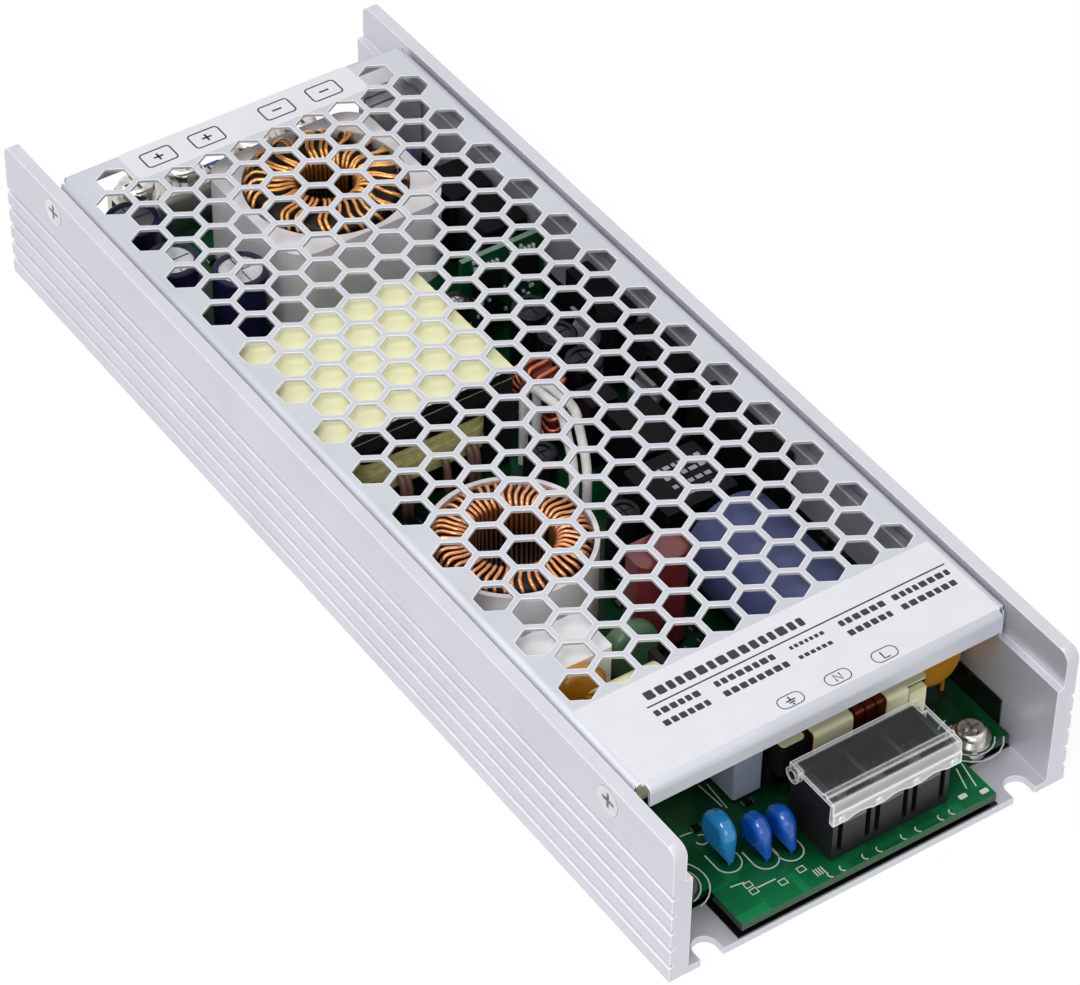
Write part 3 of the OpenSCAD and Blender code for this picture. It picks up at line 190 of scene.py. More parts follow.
def seen_directly(tree):
    """Socket that is 1 for camera, mirror and glass rays and 0 for the rest."""
    path = put(tree, "LightPath")
    total = path.outputs["Is Camera Ray"]
    for ray in ("Is Glossy Ray", "Is Transmission Ray"):
        either = math_node(tree, "MAXIMUM")
        tree.links.new(total, either.inputs[0])
        tree.links.new(path.outputs[ray], either.inputs[1])
        total = either.outputs[0]
    return total


sky = world.node_tree
strength = put(sky, "MapRange", to_min=FILL, to_max=1.0)
sky.links.new(seen_directly(sky), strength.inputs["Value"])
sky.nodes["Background"].inputs["Color"].default_value = (1, 1, 1, 1)
sky.links.new(strength.outputs[0], sky.nodes["Background"].inputs["Strength"])
print("world fill:", FILL)

# %% [markdown]
# ## Floor
#
# The supply lies on white card. Card lit by the lamps alone would come out grey, and more light would
# burn out the case. So the card shows most of its own light to the camera, and a share of its true
# shading, which keeps the shadow of the object.

# %% Floor
FLOOR_HALF = 6.0
FLOOR_Z = -0.05 * MM
CARD_GLOW, GLOW_SHARE = 1.06, 0.8
card = bpy.data.meshes.new("floor")
around = [(-1, -1), (1, -1), (1, 1), (-1, 1)]
card.from_pydata([(x * FLOOR_HALF, y * FLOOR_HALF, FLOOR_Z) for x, y in around], [], [(0, 1, 2, 3)])
floor = bpy.data.objects.new("floor", card)
bpy.context.scene.collection.objects.link(floor)
white_card = bpy.data.materials.new("white_card")
white_card.use_nodes = True
paper = white_card.node_tree
matt = paper.nodes["Principled BSDF"]
matt.inputs["Base Color"].default_value = (0.9, 0.9, 0.9, 1)
matt.inputs["Roughness"].default_value = 0.9
glow = put(paper, "Emission", strength=CARD_GLOW)
share = math_node(paper, "MULTIPLY", at={1: GLOW_SHARE})
mix = put(paper, "MixShader")
paper.links.new(seen_directly(paper), share.inputs[0])
paper.links.new(share.outputs[0], mix.inputs["Fac"])
paper.links.new(matt.outputs[0], mix.inputs[1])
paper.links.new(glow.outputs[0], mix.inputs[2])
paper.links.new(mix.outputs[0], paper.nodes["Material Output"].inputs["Surface"])
card.materials.append(white_card)
print("floor:", 2 * FLOOR_HALF, "m wide")

# %% [markdown]
# ## Shared effect: mottle
#
# No real surface has one flat colour. Plastic, lacquer and metal all change a little in tone and gloss.
# A painted picture could give this, but it would need unwrapping. Two noises give the same without it: a
# slow one for the tone and one seven times finer for the gloss and the grain. Many finishes use it, so it
# is a node group that is built once.

# %% Mottle
FINER = 7.0
mottle, inlet, outlet = new_group(
    "mottle",
    [("Color", "Color", (0.5, 0.5, 0.5, 1)), ("Scale", "Float", 200.0), ("Tone", "Float", 0.08),
     ("Roughness", "Float", 0.4), ("Spread", "Float", 0.1)],
    [("Color", "Color"), ("Roughness", "Float"), ("Height", "Float")])
place = put(mottle, "TexCoord")
slow = put(mottle, "TexNoise", detail=3.0)
fine = put(mottle, "TexNoise", detail=2.0)
finer = math_node(mottle, "MULTIPLY", at={1: FINER})
lightest = math_node(mottle, "ADD", at={0: 1.0})
darkest = math_node(mottle, "SUBTRACT", at={0: 1.0})
tone = put(mottle, "MapRange", from_min=0.3, from_max=0.7)
tinted = put(mottle, "VectorMath", operation="SCALE")
centred = math_node(mottle, "SUBTRACT", at={1: 0.5})
uneven = math_node(mottle, "MULTIPLY_ADD")
link = mottle.links.new
for noise in (slow, fine):
    link(place.outputs["Object"], noise.inputs["Vector"])
link(inlet.outputs["Scale"], slow.inputs["Scale"])
link(inlet.outputs["Scale"], finer.inputs[0])
link(finer.outputs[0], fine.inputs["Scale"])
link(inlet.outputs["Tone"], darkest.inputs[1])
link(inlet.outputs["Tone"], lightest.inputs[1])
link(slow.outputs["Fac"], tone.inputs["Value"])
link(darkest.outputs[0], tone.inputs["To Min"])
link(lightest.outputs[0], tone.inputs["To Max"])
link(inlet.outputs["Color"], tinted.inputs[0])
link(tone.outputs[0], tinted.inputs["Scale"])
link(fine.outputs["Fac"], centred.inputs[0])
link(centred.outputs[0], uneven.inputs[0])
link(inlet.outputs["Spread"], uneven.inputs[1])
link(inlet.outputs["Roughness"], uneven.inputs[2])
link(tinted.outputs[0], outlet.inputs["Color"])
link(uneven.outputs[0], outlet.inputs["Roughness"])
link(fine.outputs["Fac"], outlet.inputs["Height"])
print("mottle nodes:", len(mottle.nodes))

# %% [markdown]
# ## Shared effect: drawn lines
#
# Extruded and rolled metal carries thin streaks along the way it was drawn. They could be modelled as
# scratches. Noise that is pulled long in one direction gives them on every face at once.

# %% Drawn lines
drawn_lines, inlet, outlet = new_group(
    "drawn_lines", [("Stretch", "Vector", (3000.0, 12.0, 3000.0))], [("Lines", "Float")])
place = put(drawn_lines, "TexCoord")
pulled = put(drawn_lines, "VectorMath", operation="MULTIPLY")
streaks = put(drawn_lines, "TexNoise", detail=3.0, scale=1.0)
link = drawn_lines.links.new
link(place.outputs["Object"], pulled.inputs[0])
link(inlet.outputs["Stretch"], pulled.inputs[1])
link(pulled.outputs[0], streaks.inputs["Vector"])
link(streaks.outputs["Fac"], outlet.inputs["Lines"])
print("drawn_lines nodes:", len(drawn_lines.nodes))

# %% [markdown]
# ## Shared effect: edge mask
#
# Edges catch the light on metal and on clear plastic. This mask paints that light: a painted highlight in
# the colour of the metal and in the alpha of the lid. They could be painted by hand. Here they are
# found: near an edge the true normal differs from a rounded one.

# %% Edge mask
edge_mask, inlet, outlet = new_group("edge_mask", [("Radius", "Float", 0.0002)], [("Mask", "Float")])
true_normal = put(edge_mask, "NewGeometry")
rounded_normal = put(edge_mask, "Bevel", samples=6)
agree = put(edge_mask, "VectorMath", operation="DOT_PRODUCT")
found = put(edge_mask, "MapRange", from_min=0.995, from_max=0.9)
link = edge_mask.links.new
link(inlet.outputs["Radius"], rounded_normal.inputs["Radius"])
link(true_normal.outputs["Normal"], agree.inputs[0])
link(rounded_normal.outputs["Normal"], agree.inputs[1])
link(agree.outputs["Value"], found.inputs["Value"])
link(found.outputs[0], outlet.inputs["Mask"])
print("edge_mask nodes:", len(edge_mask.nodes))

# %% [markdown]
# ## Shared effect: depth shade
#
# Between tall parts little light reaches the board, and the gaps look nearly black. Soft lamps alone
# leave them too light. This effect asks how much open space lies round a point and darkens the colour
# where there is little. "Reach" says how far it looks, "Depth" how much of it shows and "Power" how
# steeply it falls.

# %% Depth shade
depth_shade, inlet, outlet = new_group(
    "depth_shade",
    [("Color", "Color", (0.5, 0.5, 0.5, 1)), ("Reach", "Float", 0.012), ("Depth", "Float", 0.6),
     ("Power", "Float", 1.0)],
    [("Color", "Color")])
open_sky = put(depth_shade, "AmbientOcclusion", samples=6)
dim = math_node(depth_shade, "POWER")
darker = put(depth_shade, "VectorMath", operation="SCALE")
shaded = put(depth_shade, "MixRGB")
link = depth_shade.links.new
link(inlet.outputs["Reach"], open_sky.inputs["Distance"])
link(inlet.outputs["Color"], darker.inputs[0])
link(open_sky.outputs["AO"], dim.inputs[0])
link(inlet.outputs["Power"], dim.inputs[1])
link(dim.outputs[0], darker.inputs["Scale"])
link(inlet.outputs["Depth"], shaded.inputs["Fac"])
link(inlet.outputs["Color"], shaded.inputs["Color1"])
link(darker.outputs[0], shaded.inputs["Color2"])
link(shaded.outputs[0], outlet.inputs["Color"])
print("groups:", [g.name for g in bpy.data.node_groups])

# %% [markdown]
# ## Plain finishes
#
# Moulded plastic, dipped epoxy, ferrite and tape differ in colour, gloss and grain, but are built the
# same way: a mottled colour that darkens in the depth, an uneven gloss and a fine bump. Each could have a
# tree of its own. One function with a row of values for each finish keeps them alike and easy to compare.

# %% One function for plain finishes
GRAIN_H = 0.1 * MM
COAT_ROUGH = 0.08
finishes = {}


def finish(name, colour, rough=0.4, tone=0.06, scale=250.0, bump=0.05, metal=0.0, coat=0.0, spread=0.12,
           depth=0.6, reach=12, power=1.0, shine=0.4):
    """A material of mottled colour with painted shade in the depth; rough, metal, coat and shine are the
    shader's own values.
    """
    made = bpy.data.materials.new(name)
    made.use_nodes = True
    tree = made.node_tree
    shader = tree.nodes["Principled BSDF"]
    shader.inputs["Metallic"].default_value = metal
    shader.inputs["Coat Weight"].default_value = coat
    shader.inputs["Coat Roughness"].default_value = COAT_ROUGH
    shader.inputs["Specular IOR Level"].default_value = shine
    skin = use_group(
        tree, mottle, color=srgb(*colour), scale=scale, tone=tone, roughness=rough, spread=spread)
    grain = put(tree, "Bump", strength=bump, distance=GRAIN_H)
    shade = use_group(tree, depth_shade, depth=depth, reach=reach * MM, power=power)
    tree.links.new(skin.outputs["Color"], shade.inputs["Color"])
    tree.links.new(shade.outputs["Color"], shader.inputs["Base Color"])
    tree.links.new(skin.outputs["Roughness"], shader.inputs["Roughness"])
    tree.links.new(skin.outputs["Height"], grain.inputs["Height"])
    tree.links.new(grain.outputs[0], shader.inputs["Normal"])
    finishes[name] = made
    return made


def parts_of(material):
    """The tree of a plain finish, its shader, its mottled skin and its depth shade, to build on."""
    tree = material.node_tree
    skin, shade = [n for n in tree.nodes if n.type == "GROUP"]
    return tree, tree.nodes["Principled BSDF"], skin, shade


print("grain of the finishes:", round(GRAIN_H / MM, 2), "mm")

# %% Screws, plastics and cores
finish("screw_steel", (224, 223, 226), rough=0.34, metal=0.85, tone=0.06, depth=0.0)
finish("screw_zinc", (216, 212, 206), rough=0.18, metal=0.9, tone=0.25, scale=700, depth=0.3)
finish("screw_dark", (120, 118, 116), rough=0.3, metal=1.0, tone=0.15)
finish("tinned_copper", (208, 205, 198), rough=0.32, metal=1.0, tone=0.08, scale=500)
# flat white for chip legs and solder points: a painted highlight in place of the shine of metal
finish("solder_with_painted_glint", (244, 244, 242), rough=0.3, metal=0.2, depth=0.0)
finish("heatsink_grey", (218, 218, 222), rough=0.4, metal=0.6, tone=0.05)
# strong painted shade for black parts deep in the case, with a low shine
BLACK_IN_PAINTED_SHADE = {"depth": 0.7, "reach": 16, "shine": 0.12}
finish("film_black", (20, 20, 22), rough=0.2, tone=0.2, coat=0.4)
finish("block_black", (30, 30, 33), rough=0.42, tone=0.2, scale=600, bump=0.15, depth=0.5)
finish("plastic_black", (20, 20, 22), rough=0.42, tone=0.2, scale=600, bump=0.15, **BLACK_IN_PAINTED_SHADE)
finish("package_black", (22, 22, 25), rough=0.5, tone=0.25, scale=900, bump=0.25, **BLACK_IN_PAINTED_SHADE)
CORE_GRAIN = {"scale": 900, "bump": 0.3}
finish("ferrite", (34, 33, 34), rough=0.6, tone=0.25, shine=0.14, **CORE_GRAIN)
finish("core_brown", (34, 22, 18), rough=0.5, tone=0.25, **CORE_GRAIN)
finish("core_red", (128, 54, 38), rough=0.5, tone=0.2, **CORE_GRAIN)
finish("trimmer_blue", (40, 80, 160), rough=0.4, tone=0.05)
finish("rotor_cream", (230, 224, 205), rough=0.45, tone=0.05)
finish("lamp_green", (80, 190, 100), rough=0.15, tone=0.04, coat=0.5)
print("plain finishes:", len(finishes))

# %% Capacitors, wires, tape and print
DIPPED = {"rough": 0.18, "tone": 0.08, "coat": 0.6, "bump": 0.12, "scale": 400, "depth": 0.3}
finish("epoxy_blue", (8, 86, 186), **DIPPED)
finish("epoxy_sky", (36, 134, 198), **DIPPED)
finish("box_grey", (178, 188, 210), rough=0.3, tone=0.05, depth=0.0)
finish("box_white", (254, 254, 255), rough=0.35, tone=0.03, depth=0.0)
finish("epoxy_amber", (206, 140, 40), rough=0.22, tone=0.1, coat=0.4, depth=0.0)
finish("epoxy_green", (92, 126, 92), rough=0.3, tone=0.08, coat=0.2, depth=0.3)
finish("epoxy_maroon", (128, 48, 50), rough=0.2, tone=0.1, coat=0.5, bump=0.15, depth=0.4)
finish("sleeve_slate", (78, 86, 130), rough=0.38, tone=0.12, depth=0.5, shine=0.3)
finish("cup_white", (254, 250, 252), rough=0.45, tone=0.03, depth=0.0)
LACQUERED = {"rough": 0.25, "metal": 0.5, "tone": 0.12}
finish("choke_wire", (120, 48, 28), **LACQUERED)
finish("red_wire", (248, 134, 98), coat=0.4, depth=0.4, **LACQUERED)
finish("amber_wire", (214, 150, 44), **LACQUERED)
finish("lead_brown", (128, 96, 86), rough=0.35, tone=0.15)
finish("wire_white", (238, 238, 236), rough=0.4, tone=0.03, depth=0.0)
finish("litz_yellow", (214, 208, 140), rough=0.6, tone=0.18, scale=700, bump=0.4, depth=0.4)
finish("tape_yellow", (255, 252, 206), rough=0.3, tone=0.04, scale=120, coat=0.3, depth=0.0)
finish("print_white", (236, 236, 242), rough=0.5, tone=0.02, depth=0.0)
finish("print_dark", (44, 44, 50), rough=0.55, tone=0.1, depth=0.0)
finish("board_mark", (214, 222, 214), rough=0.6, tone=0.06)
finish("relay_mark", (190, 191, 196), rough=0.6, tone=0.1)
print("plain finishes:", len(finishes))

# %% [markdown]
# ## Aluminium channel and cover
#
# The channel is extruded, so its surface carries fine lines along its length. A picture of brushed
# metal could be wrapped round it. Streaks made from stretched noise need no unwrapping, and run the
# right way on every face. The cover is rolled sheet without a direction. On both, the edges get a
# painted highlight: their colour is made a little brighter.

# %% Aluminium channel and cover
LINE_H = 0.05 * MM
STREAK_GLOSS = 0.16
# a brighter colour for the edges: a painted highlight
EDGE_HIGHLIGHT_COLOUR = (252, 252, 254)


def metal_sheet(name, colour, rough, stretch, metal, line_depth, rim):
    """Rolled or extruded metal: streaks change the gloss and the relief, and edges get a painted highlight.
    """
    made = finish(name, colour, rough=rough, tone=0.035, scale=60, bump=0.03, metal=metal, depth=0.0)
    tree, shader, skin, shade = parts_of(made)
    streaks = use_group(tree, drawn_lines, stretch=stretch)
    edges = use_group(tree, edge_mask, radius=rim * MM)
    # edges are mixed towards that brighter colour as a painted highlight
    lighter = put(tree, "MixRGB", color2=srgb(*EDGE_HIGHLIGHT_COLOUR))
    gloss = math_node(tree, "MULTIPLY_ADD", at={1: STREAK_GLOSS})
    grain = put(tree, "Bump", strength=line_depth, distance=LINE_H)
    tree.links.new(edges.outputs["Mask"], lighter.inputs["Fac"])
    tree.links.new(skin.outputs["Color"], lighter.inputs["Color1"])
    tree.links.new(lighter.outputs[0], shade.inputs["Color"])
    tree.links.new(streaks.outputs["Lines"], gloss.inputs[0])
    tree.links.new(skin.outputs["Roughness"], gloss.inputs[2])
    tree.links.new(gloss.outputs[0], shader.inputs["Roughness"])
    tree.links.new(streaks.outputs["Lines"], grain.inputs["Height"])
    tree.links.new(grain.outputs[0], shader.inputs["Normal"])
    print(name, "nodes:", len(tree.nodes))


metal_sheet("case_aluminium", (212, 213, 221), 0.3, (2600, 14, 2600), 0.52, 0.12, rim=0.3)
metal_sheet("cover_sheet", (204, 206, 214), 0.4, (900, 900, 900), 0.45, 0.05, rim=0.45)

# %% [markdown]
# ## Board
#
# The board is glass fibre under a thin green lacquer. Copper tracks under the lacquer look lighter. The
# cut edge has no lacquer and shows the paler fibre. The tracks could be drawn one by one; most lie in
# shade below the parts, so a blocky pattern from square cells is enough.

# %% Board
CUT_FIBRE = (58, 128, 82)
# depth, reach and power give the board strong painted shade between the parts
tree, _, skin, shade = parts_of(finish(
    "board_green", (26, 142, 84), rough=0.24, tone=0.1, scale=90,
    depth=1.0, reach=22, power=1.8, shine=0.22))
spot = put(tree, "TexCoord")
cells = put(tree, "TexVoronoi", distance="CHEBYCHEV", scale=140.0)
copper = put(tree, "MapRange", from_min=0.42, from_max=0.46, to_min=0.8, to_max=1.12)
tracks = put(tree, "VectorMath", operation="SCALE")
facing = put(tree, "NewGeometry")
upright = put(tree, "SeparateXYZ")
level = math_node(tree, "ABSOLUTE")
cut = math_node(tree, "LESS_THAN", at={1: 0.5})
fibre = put(tree, "MixRGB", color2=srgb(*CUT_FIBRE))
tree.links.new(spot.outputs["Object"], cells.inputs["Vector"])
tree.links.new(cells.outputs["Distance"], copper.inputs["Value"])
tree.links.new(skin.outputs["Color"], tracks.inputs[0])
tree.links.new(copper.outputs[0], tracks.inputs["Scale"])
tree.links.new(facing.outputs["Normal"], upright.inputs[0])
tree.links.new(upright.outputs["Z"], level.inputs[0])
tree.links.new(level.outputs[0], cut.inputs[0])
tree.links.new(cut.outputs[0], fibre.inputs["Fac"])
tree.links.new(tracks.outputs[0], fibre.inputs["Color1"])
tree.links.new(fibre.outputs[0], shade.inputs["Color"])
print("board finish nodes:", len(tree.nodes))

# %% [markdown]
# ## Control card and transformer tape
#
# The control card stands upright, so its lacquered faces look sideways and its pale cut edge looks up.
# Its edge is also painted lighter, as lit from above, and its faces painted darker, as in shade. The
# transformer's tape is yellow on top and black on its sides. Two materials for each could be used. One
# finish that asks which way a face looks keeps each in one.

# %% Control card and transformer tape
UPWARD = 0.6


def by_facing(name, top, sides, **values):
    """A finish with one colour on what faces up and another on the rest."""
    tree, _, skin, shade = parts_of(finish(name, sides, **values))
    facing, upright = put(tree, "NewGeometry"), put(tree, "SeparateXYZ")
    upper = math_node(tree, "GREATER_THAN", at={1: UPWARD})
    either = put(tree, "MixRGB", color2=srgb(*top))
    tree.links.new(facing.outputs["Normal"], upright.inputs[0])
    tree.links.new(upright.outputs["Z"], upper.inputs[0])
    tree.links.new(upper.outputs[0], either.inputs["Fac"])
    tree.links.new(skin.outputs["Color"], either.inputs["Color1"])
    tree.links.new(either.outputs[0], shade.inputs["Color"])
    print(name, "top", top, "sides", sides)


# the card's cut edge on top is painted lighter as lit from above, its lacquered sides painted darker as in
# shade
by_facing("card_green", (150, 184, 160), (12, 84, 52), rough=0.35, depth=0.8, shine=0.2)
by_facing("tape_label", (255, 253, 208), (20, 20, 22), rough=0.32, tone=0.04, scale=120, depth=0.0)

# %% [markdown]
# ## Copper wire
#
# Winding wire is copper under clear lacquer. It is pale where it turns over the top of a ring and nearly
# black down in the hole, where little light comes. The light alone could make it so, but a soft studio
# reaches into the hole. Here the finish also darkens from the top of a coil downwards.

# %% Copper wire


def winding_copper(name, colour):
    """Lacquered copper that darkens from the top of its coil downwards."""
    tree, shader, skin, shade = parts_of(finish(
        name, colour, rough=0.24, tone=0.14, scale=350, metal=0.75, coat=0.9, depth=0.9, reach=1.5))
    shader.inputs["Coat Roughness"].default_value = 0.2
    spot, point = put(tree, "TexCoord"), put(tree, "SeparateXYZ")
    crest = put(tree, "MapRange", from_min=0.55, from_max=0.97, to_min=0.1, to_max=1.0)
    deeper = put(tree, "VectorMath", operation="SCALE")
    tree.links.new(spot.outputs["Generated"], point.inputs[0])
    tree.links.new(point.outputs["Z"], crest.inputs["Value"])
    tree.links.new(skin.outputs["Color"], deeper.inputs[0])
    tree.links.new(crest.outputs[0], deeper.inputs["Scale"])
    tree.links.new(deeper.outputs[0], shade.inputs["Color"])
    print(name, "nodes:", len(tree.nodes))


winding_copper("copper_wire", (248, 166, 110))
winding_copper("copper_gold", (246, 172, 92))

# %% [markdown]
# ## Sleeved cans
#
# A round capacitor is an aluminium can in a printed sleeve. The sleeve is shrunk over the rim and
# leaves the top bare. The top could be a separate disc. Here the finish itself finds it: the bare part
# faces up and lies a little lower than the rim. Of the small cans the rear one has a brighter top.

# %% Sleeved cans
RIM_H = 0.12 * MM
FLAT_TOP = 0.9


def sleeved_can(name, sleeve, top, rear_top, rear_d, node):
    """Dark sleeve with a bare metal top, for the upright cans of one node; the rear can has its own."""
    tree, shader, skin, shade = parts_of(finish(name, sleeve, rough=0.25, tone=0.1, shine=0.25))
    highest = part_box(node)[1]
    where, spot = put(tree, "NewGeometry"), put(tree, "TexCoord")
    point, facing = put(tree, "SeparateXYZ"), put(tree, "SeparateXYZ")
    below = math_node(tree, "LESS_THAN", at={1: highest.z - RIM_H})
    upward = math_node(tree, "GREATER_THAN", at={1: FLAT_TOP})
    bare = math_node(tree, "MULTIPLY")
    rear = math_node(tree, "GREATER_THAN", at={1: highest.y - rear_d * MM})
    tops = put(tree, "MixRGB", color1=srgb(*top), color2=srgb(*rear_top))
    metal = put(tree, "MixRGB")
    tree.links.new(spot.outputs["Object"], point.inputs[0])
    tree.links.new(point.outputs["Y"], rear.inputs[0])
    tree.links.new(rear.outputs[0], tops.inputs["Fac"])
    tree.links.new(tops.outputs[0], metal.inputs["Color2"])
    tree.links.new(where.outputs["Normal"], facing.inputs[0])
    tree.links.new(point.outputs["Z"], below.inputs[0])
    tree.links.new(facing.outputs["Z"], upward.inputs[0])
    tree.links.new(below.outputs[0], bare.inputs[0])
    tree.links.new(upward.outputs[0], bare.inputs[1])
    tree.links.new(bare.outputs[0], metal.inputs["Fac"])
    tree.links.new(skin.outputs["Color"], metal.inputs["Color1"])
    tree.links.new(metal.outputs[0], shade.inputs["Color"])
    tree.links.new(bare.outputs[0], shader.inputs["Metallic"])
    print(name, "rim at", round(highest.z / MM, 1), "mm")


BRIGHT_TOP, DULL_TOP = (226, 226, 230), (62, 62, 68)
sleeved_can("sleeve_navy", (36, 36, 74), BRIGHT_TOP, BRIGHT_TOP, 8, "output_capacitors")
sleeved_can("sleeve_black", (22, 22, 28), DULL_TOP, (214, 214, 216), 5.2, "small_capacitors")

# %% [markdown]
# ## Clear lid
#
# The terminal lid is moulded from thin clear plastic. Its top is clear, its front skirt has a fine grain
# that makes it look milky, and its moulded edges catch the light. Thick glass would bend the light. A
# thin sheet hardly does, so the lid is simply seen through: its alpha is low on the top, where its white
# is a painted reflection of the white room, higher on the skirt, and highest along the edges, where it
# is a painted highlight. Its colour is the same all over, so it needs no mottle or shade.

# %% Clear lid
SKIRT_T, EDGE_R = 0.85 * MM, 0.8 * MM
# lid alpha: a small share on the top as a painted reflection, the skirt's milky grain, and a painted
# highlight along the edges
TOP_REFLECTION_ALPHA, SKIRT_MILK, EDGE_HIGHLIGHT_ALPHA = 0.022, 0.42, 0.75
LID_COLOUR = (250, 251, 252)
lid_low, lid_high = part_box("terminal_cover")
tree, shader, _, shade = parts_of(finish(
    "lid_clear", LID_COLOUR, rough=0.05, scale=300, bump=0.02, spread=0.05))
tree.nodes.remove(shade)
shader.inputs["Base Color"].default_value = srgb(*LID_COLOUR)
spot, point = put(tree, "TexCoord"), put(tree, "SeparateXYZ")
skirt = math_node(tree, "LESS_THAN", at={1: lid_low.y + SKIRT_T})
rim = use_group(tree, edge_mask, radius=EDGE_R)
# the top's share is a painted reflection, the edge share a painted highlight
milk_and_reflection = math_node(tree, "MULTIPLY_ADD", at={1: SKIRT_MILK, 2: TOP_REFLECTION_ALPHA})
seen = math_node(tree, "MULTIPLY_ADD", at={1: EDGE_HIGHLIGHT_ALPHA}, use_clamp=True)
tree.links.new(spot.outputs["Object"], point.inputs[0])
tree.links.new(point.outputs["Y"], skirt.inputs[0])
tree.links.new(skirt.outputs[0], milk_and_reflection.inputs[0])
tree.links.new(rim.outputs["Mask"], seen.inputs[0])
tree.links.new(milk_and_reflection.outputs[0], seen.inputs[2])
tree.links.new(seen.outputs[0], shader.inputs["Alpha"])
print("lid:", [round(x / MM, 1) for x in lid_high - lid_low], "mm")

# %% [markdown]
# ## Finishes go on
#
# On the bench each part comes from its own maker in its own finish. The finishes could be set one by one
# where they are made. One table that says which piece is made of what is easier to check, and shows at
# once if a piece was forgotten.

# %% Finishes go on
MADE_OF = {
    "case_aluminium": ["base_channel", "board_standoffs"],
    "cover_sheet": ["cover"],
    "screw_steel": ["cover_screws", "transistor_clips"],
    "screw_zinc": ["board_screws", "output_screws"],
    "screw_dark": ["terminal_screws", "terminal_contacts"],
    "tinned_copper": ["output_bar_plus", "output_bar_minus"],
    "film_black": ["insulation_tray"],
    "board_green": ["main_board"],
    "card_green": ["control_board"],
    "lid_clear": ["terminal_cover"],
    "block_black": ["terminal_block"],
    "plastic_black": ["relay", "fuse", "transformer_bobbin", "drive_transformers"],
    "package_black": ["bridge_rectifier", "power_transistors", "control_chips", "rectifier_packages"],
    "epoxy_blue": ["y_capacitor_2", "y_capacitor_3", "bypass_disc"],
    "epoxy_sky": ["y_capacitor_1"],
    "box_grey": ["x_capacitor_front"],
    "box_white": ["x_capacitor_rear"],
    "epoxy_amber": ["surge_disc"],
    "epoxy_green": ["inrush_disc"],
    "epoxy_maroon": ["film_capacitor"],
    "ferrite": ["line_choke_core", "filter_choke_core", "transformer_core_lower", "transformer_core_upper"],
    "core_brown": ["boost_choke_core", "output_choke_core"],
    "core_red": ["resonant_choke_core"],
    "copper_wire": ["boost_choke_winding"],
    "copper_gold": ["output_choke_winding"],
    "choke_wire": ["line_choke_windings"],
    "red_wire": ["resonant_choke_winding"],
    "amber_wire": ["filter_choke_winding"],
    "litz_yellow": ["transformer_winding"],
    "tape_yellow": ["line_choke_tape", "filter_choke_tape"],
    "tape_label": ["transformer_tape"],
    "cup_white": ["boost_choke_cup", "output_choke_cup"],
    "sleeve_slate": ["bulk_capacitor"],
    "sleeve_navy": ["output_capacitors"],
    "sleeve_black": ["small_capacitors"],
    "wire_white": ["lead_wires"],
    "heatsink_grey": ["rectifier_heatsink"],
    "trimmer_blue": ["trimmer_body"],
    "rotor_cream": ["trimmer_rotor"],
    "lamp_green": ["indicator_lamp"],
}
for name, pieces in MADE_OF.items():
    for piece_name in pieces:
        for holder in nodes[piece_name].material_slots:
            holder.material = finishes[name]
bare_nodes = sorted(set(nodes) - {p for pieces in MADE_OF.values() for p in pieces})
print("nodes without a finish:", bare_nodes)

# %% [markdown]
# ## Shapes made here
#
# What the frame does not have is drawn with a few shapes, all of them closed solids: a skin over rings
# of points, a round tube along a path, and flat strokes and plates for print. Curves with a bevel could
# do the same. Plain meshes show how each solid comes from its rings, and need no conversion.

# %% Solids from rings


def skin_over(rings, closed=False):
    """Solid through rings of points that run anticlockwise round the way they travel."""
    sides = len(rings[0])
    points = [p for ring in rings for p in ring]
    steps = [(i, i + 1) for i in range(len(rings) - 1)]
    if closed:
        steps.append((len(rings) - 1, 0))
    faces = [(i * sides + k, i * sides + (k + 1) % sides, j * sides + (k + 1) % sides, j * sides + k)
             for i, j in steps for k in range(sides)]
    if not closed:
        faces += [tuple(reversed(range(sides))), tuple(range(len(points) - sides, len(points)))]
    return points, faces


def tube(path, radius, sides=8):
    """Round wire along a path of points, carried on with as little twist as possible."""
    rings, side = [], None
    for i, here in enumerate(path):
        ahead = (path[min(i + 1, len(path) - 1)] - path[max(i - 1, 0)]).normalized()
        side = side or ahead.orthogonal()
        side = (side - ahead * side.dot(ahead)).normalized()
        up = ahead.cross(side)
        rings.append([here + (side * math.cos(a) + up * math.sin(a)) * radius
                      for a in (math.tau * k / sides for k in range(sides))])
    return skin_over(rings)


def stroke(path, width, low, high, closed=False):
    """Printed line along (x, y) points, as a thin flat solid."""
    rings, last = [], len(path) - 1
    for i, (x, y) in enumerate(path):
        before = path[i - 1] if i or closed else path[i]
        after = path[i + 1] if i < last else path[0] if closed else path[i]
        along = Vector(after) - Vector(before)
        side = Vector((-along.y, along.x)).normalized() * width / 2
        rings.append([(x + side.x, y + side.y, high), (x - side.x, y - side.y, high),
                      (x - side.x, y - side.y, low), (x + side.x, y + side.y, low)])
    return skin_over(rings, closed)


def plate(outline, low, high):
    """Flat solid over an outline of (x, y) points that runs anticlockwise."""
    return skin_over([[(x, y, z) for x, y in outline] for z in (low, high)])


print("a short tube has", len(tube([Vector((0, 0, 0)), Vector((0, 0, 1))], 0.5)[1]), "faces")

# %% Outlines


def rounded(x, y, w, h, r=0.0, steps=4):
    """Outline of a rectangle with round corners round the point x, y."""
    points = []
    for corner, (sx, sy) in enumerate(((1, 1), (-1, 1), (-1, -1), (1, -1))):
        for k in range(steps + 1 if r else 1):
            a = math.pi / 2 * (corner + k / steps)
            points.append((x + sx * (w / 2 - r) + r * math.cos(a), y + sy * (h / 2 - r) + r * math.sin(a)))
    return points


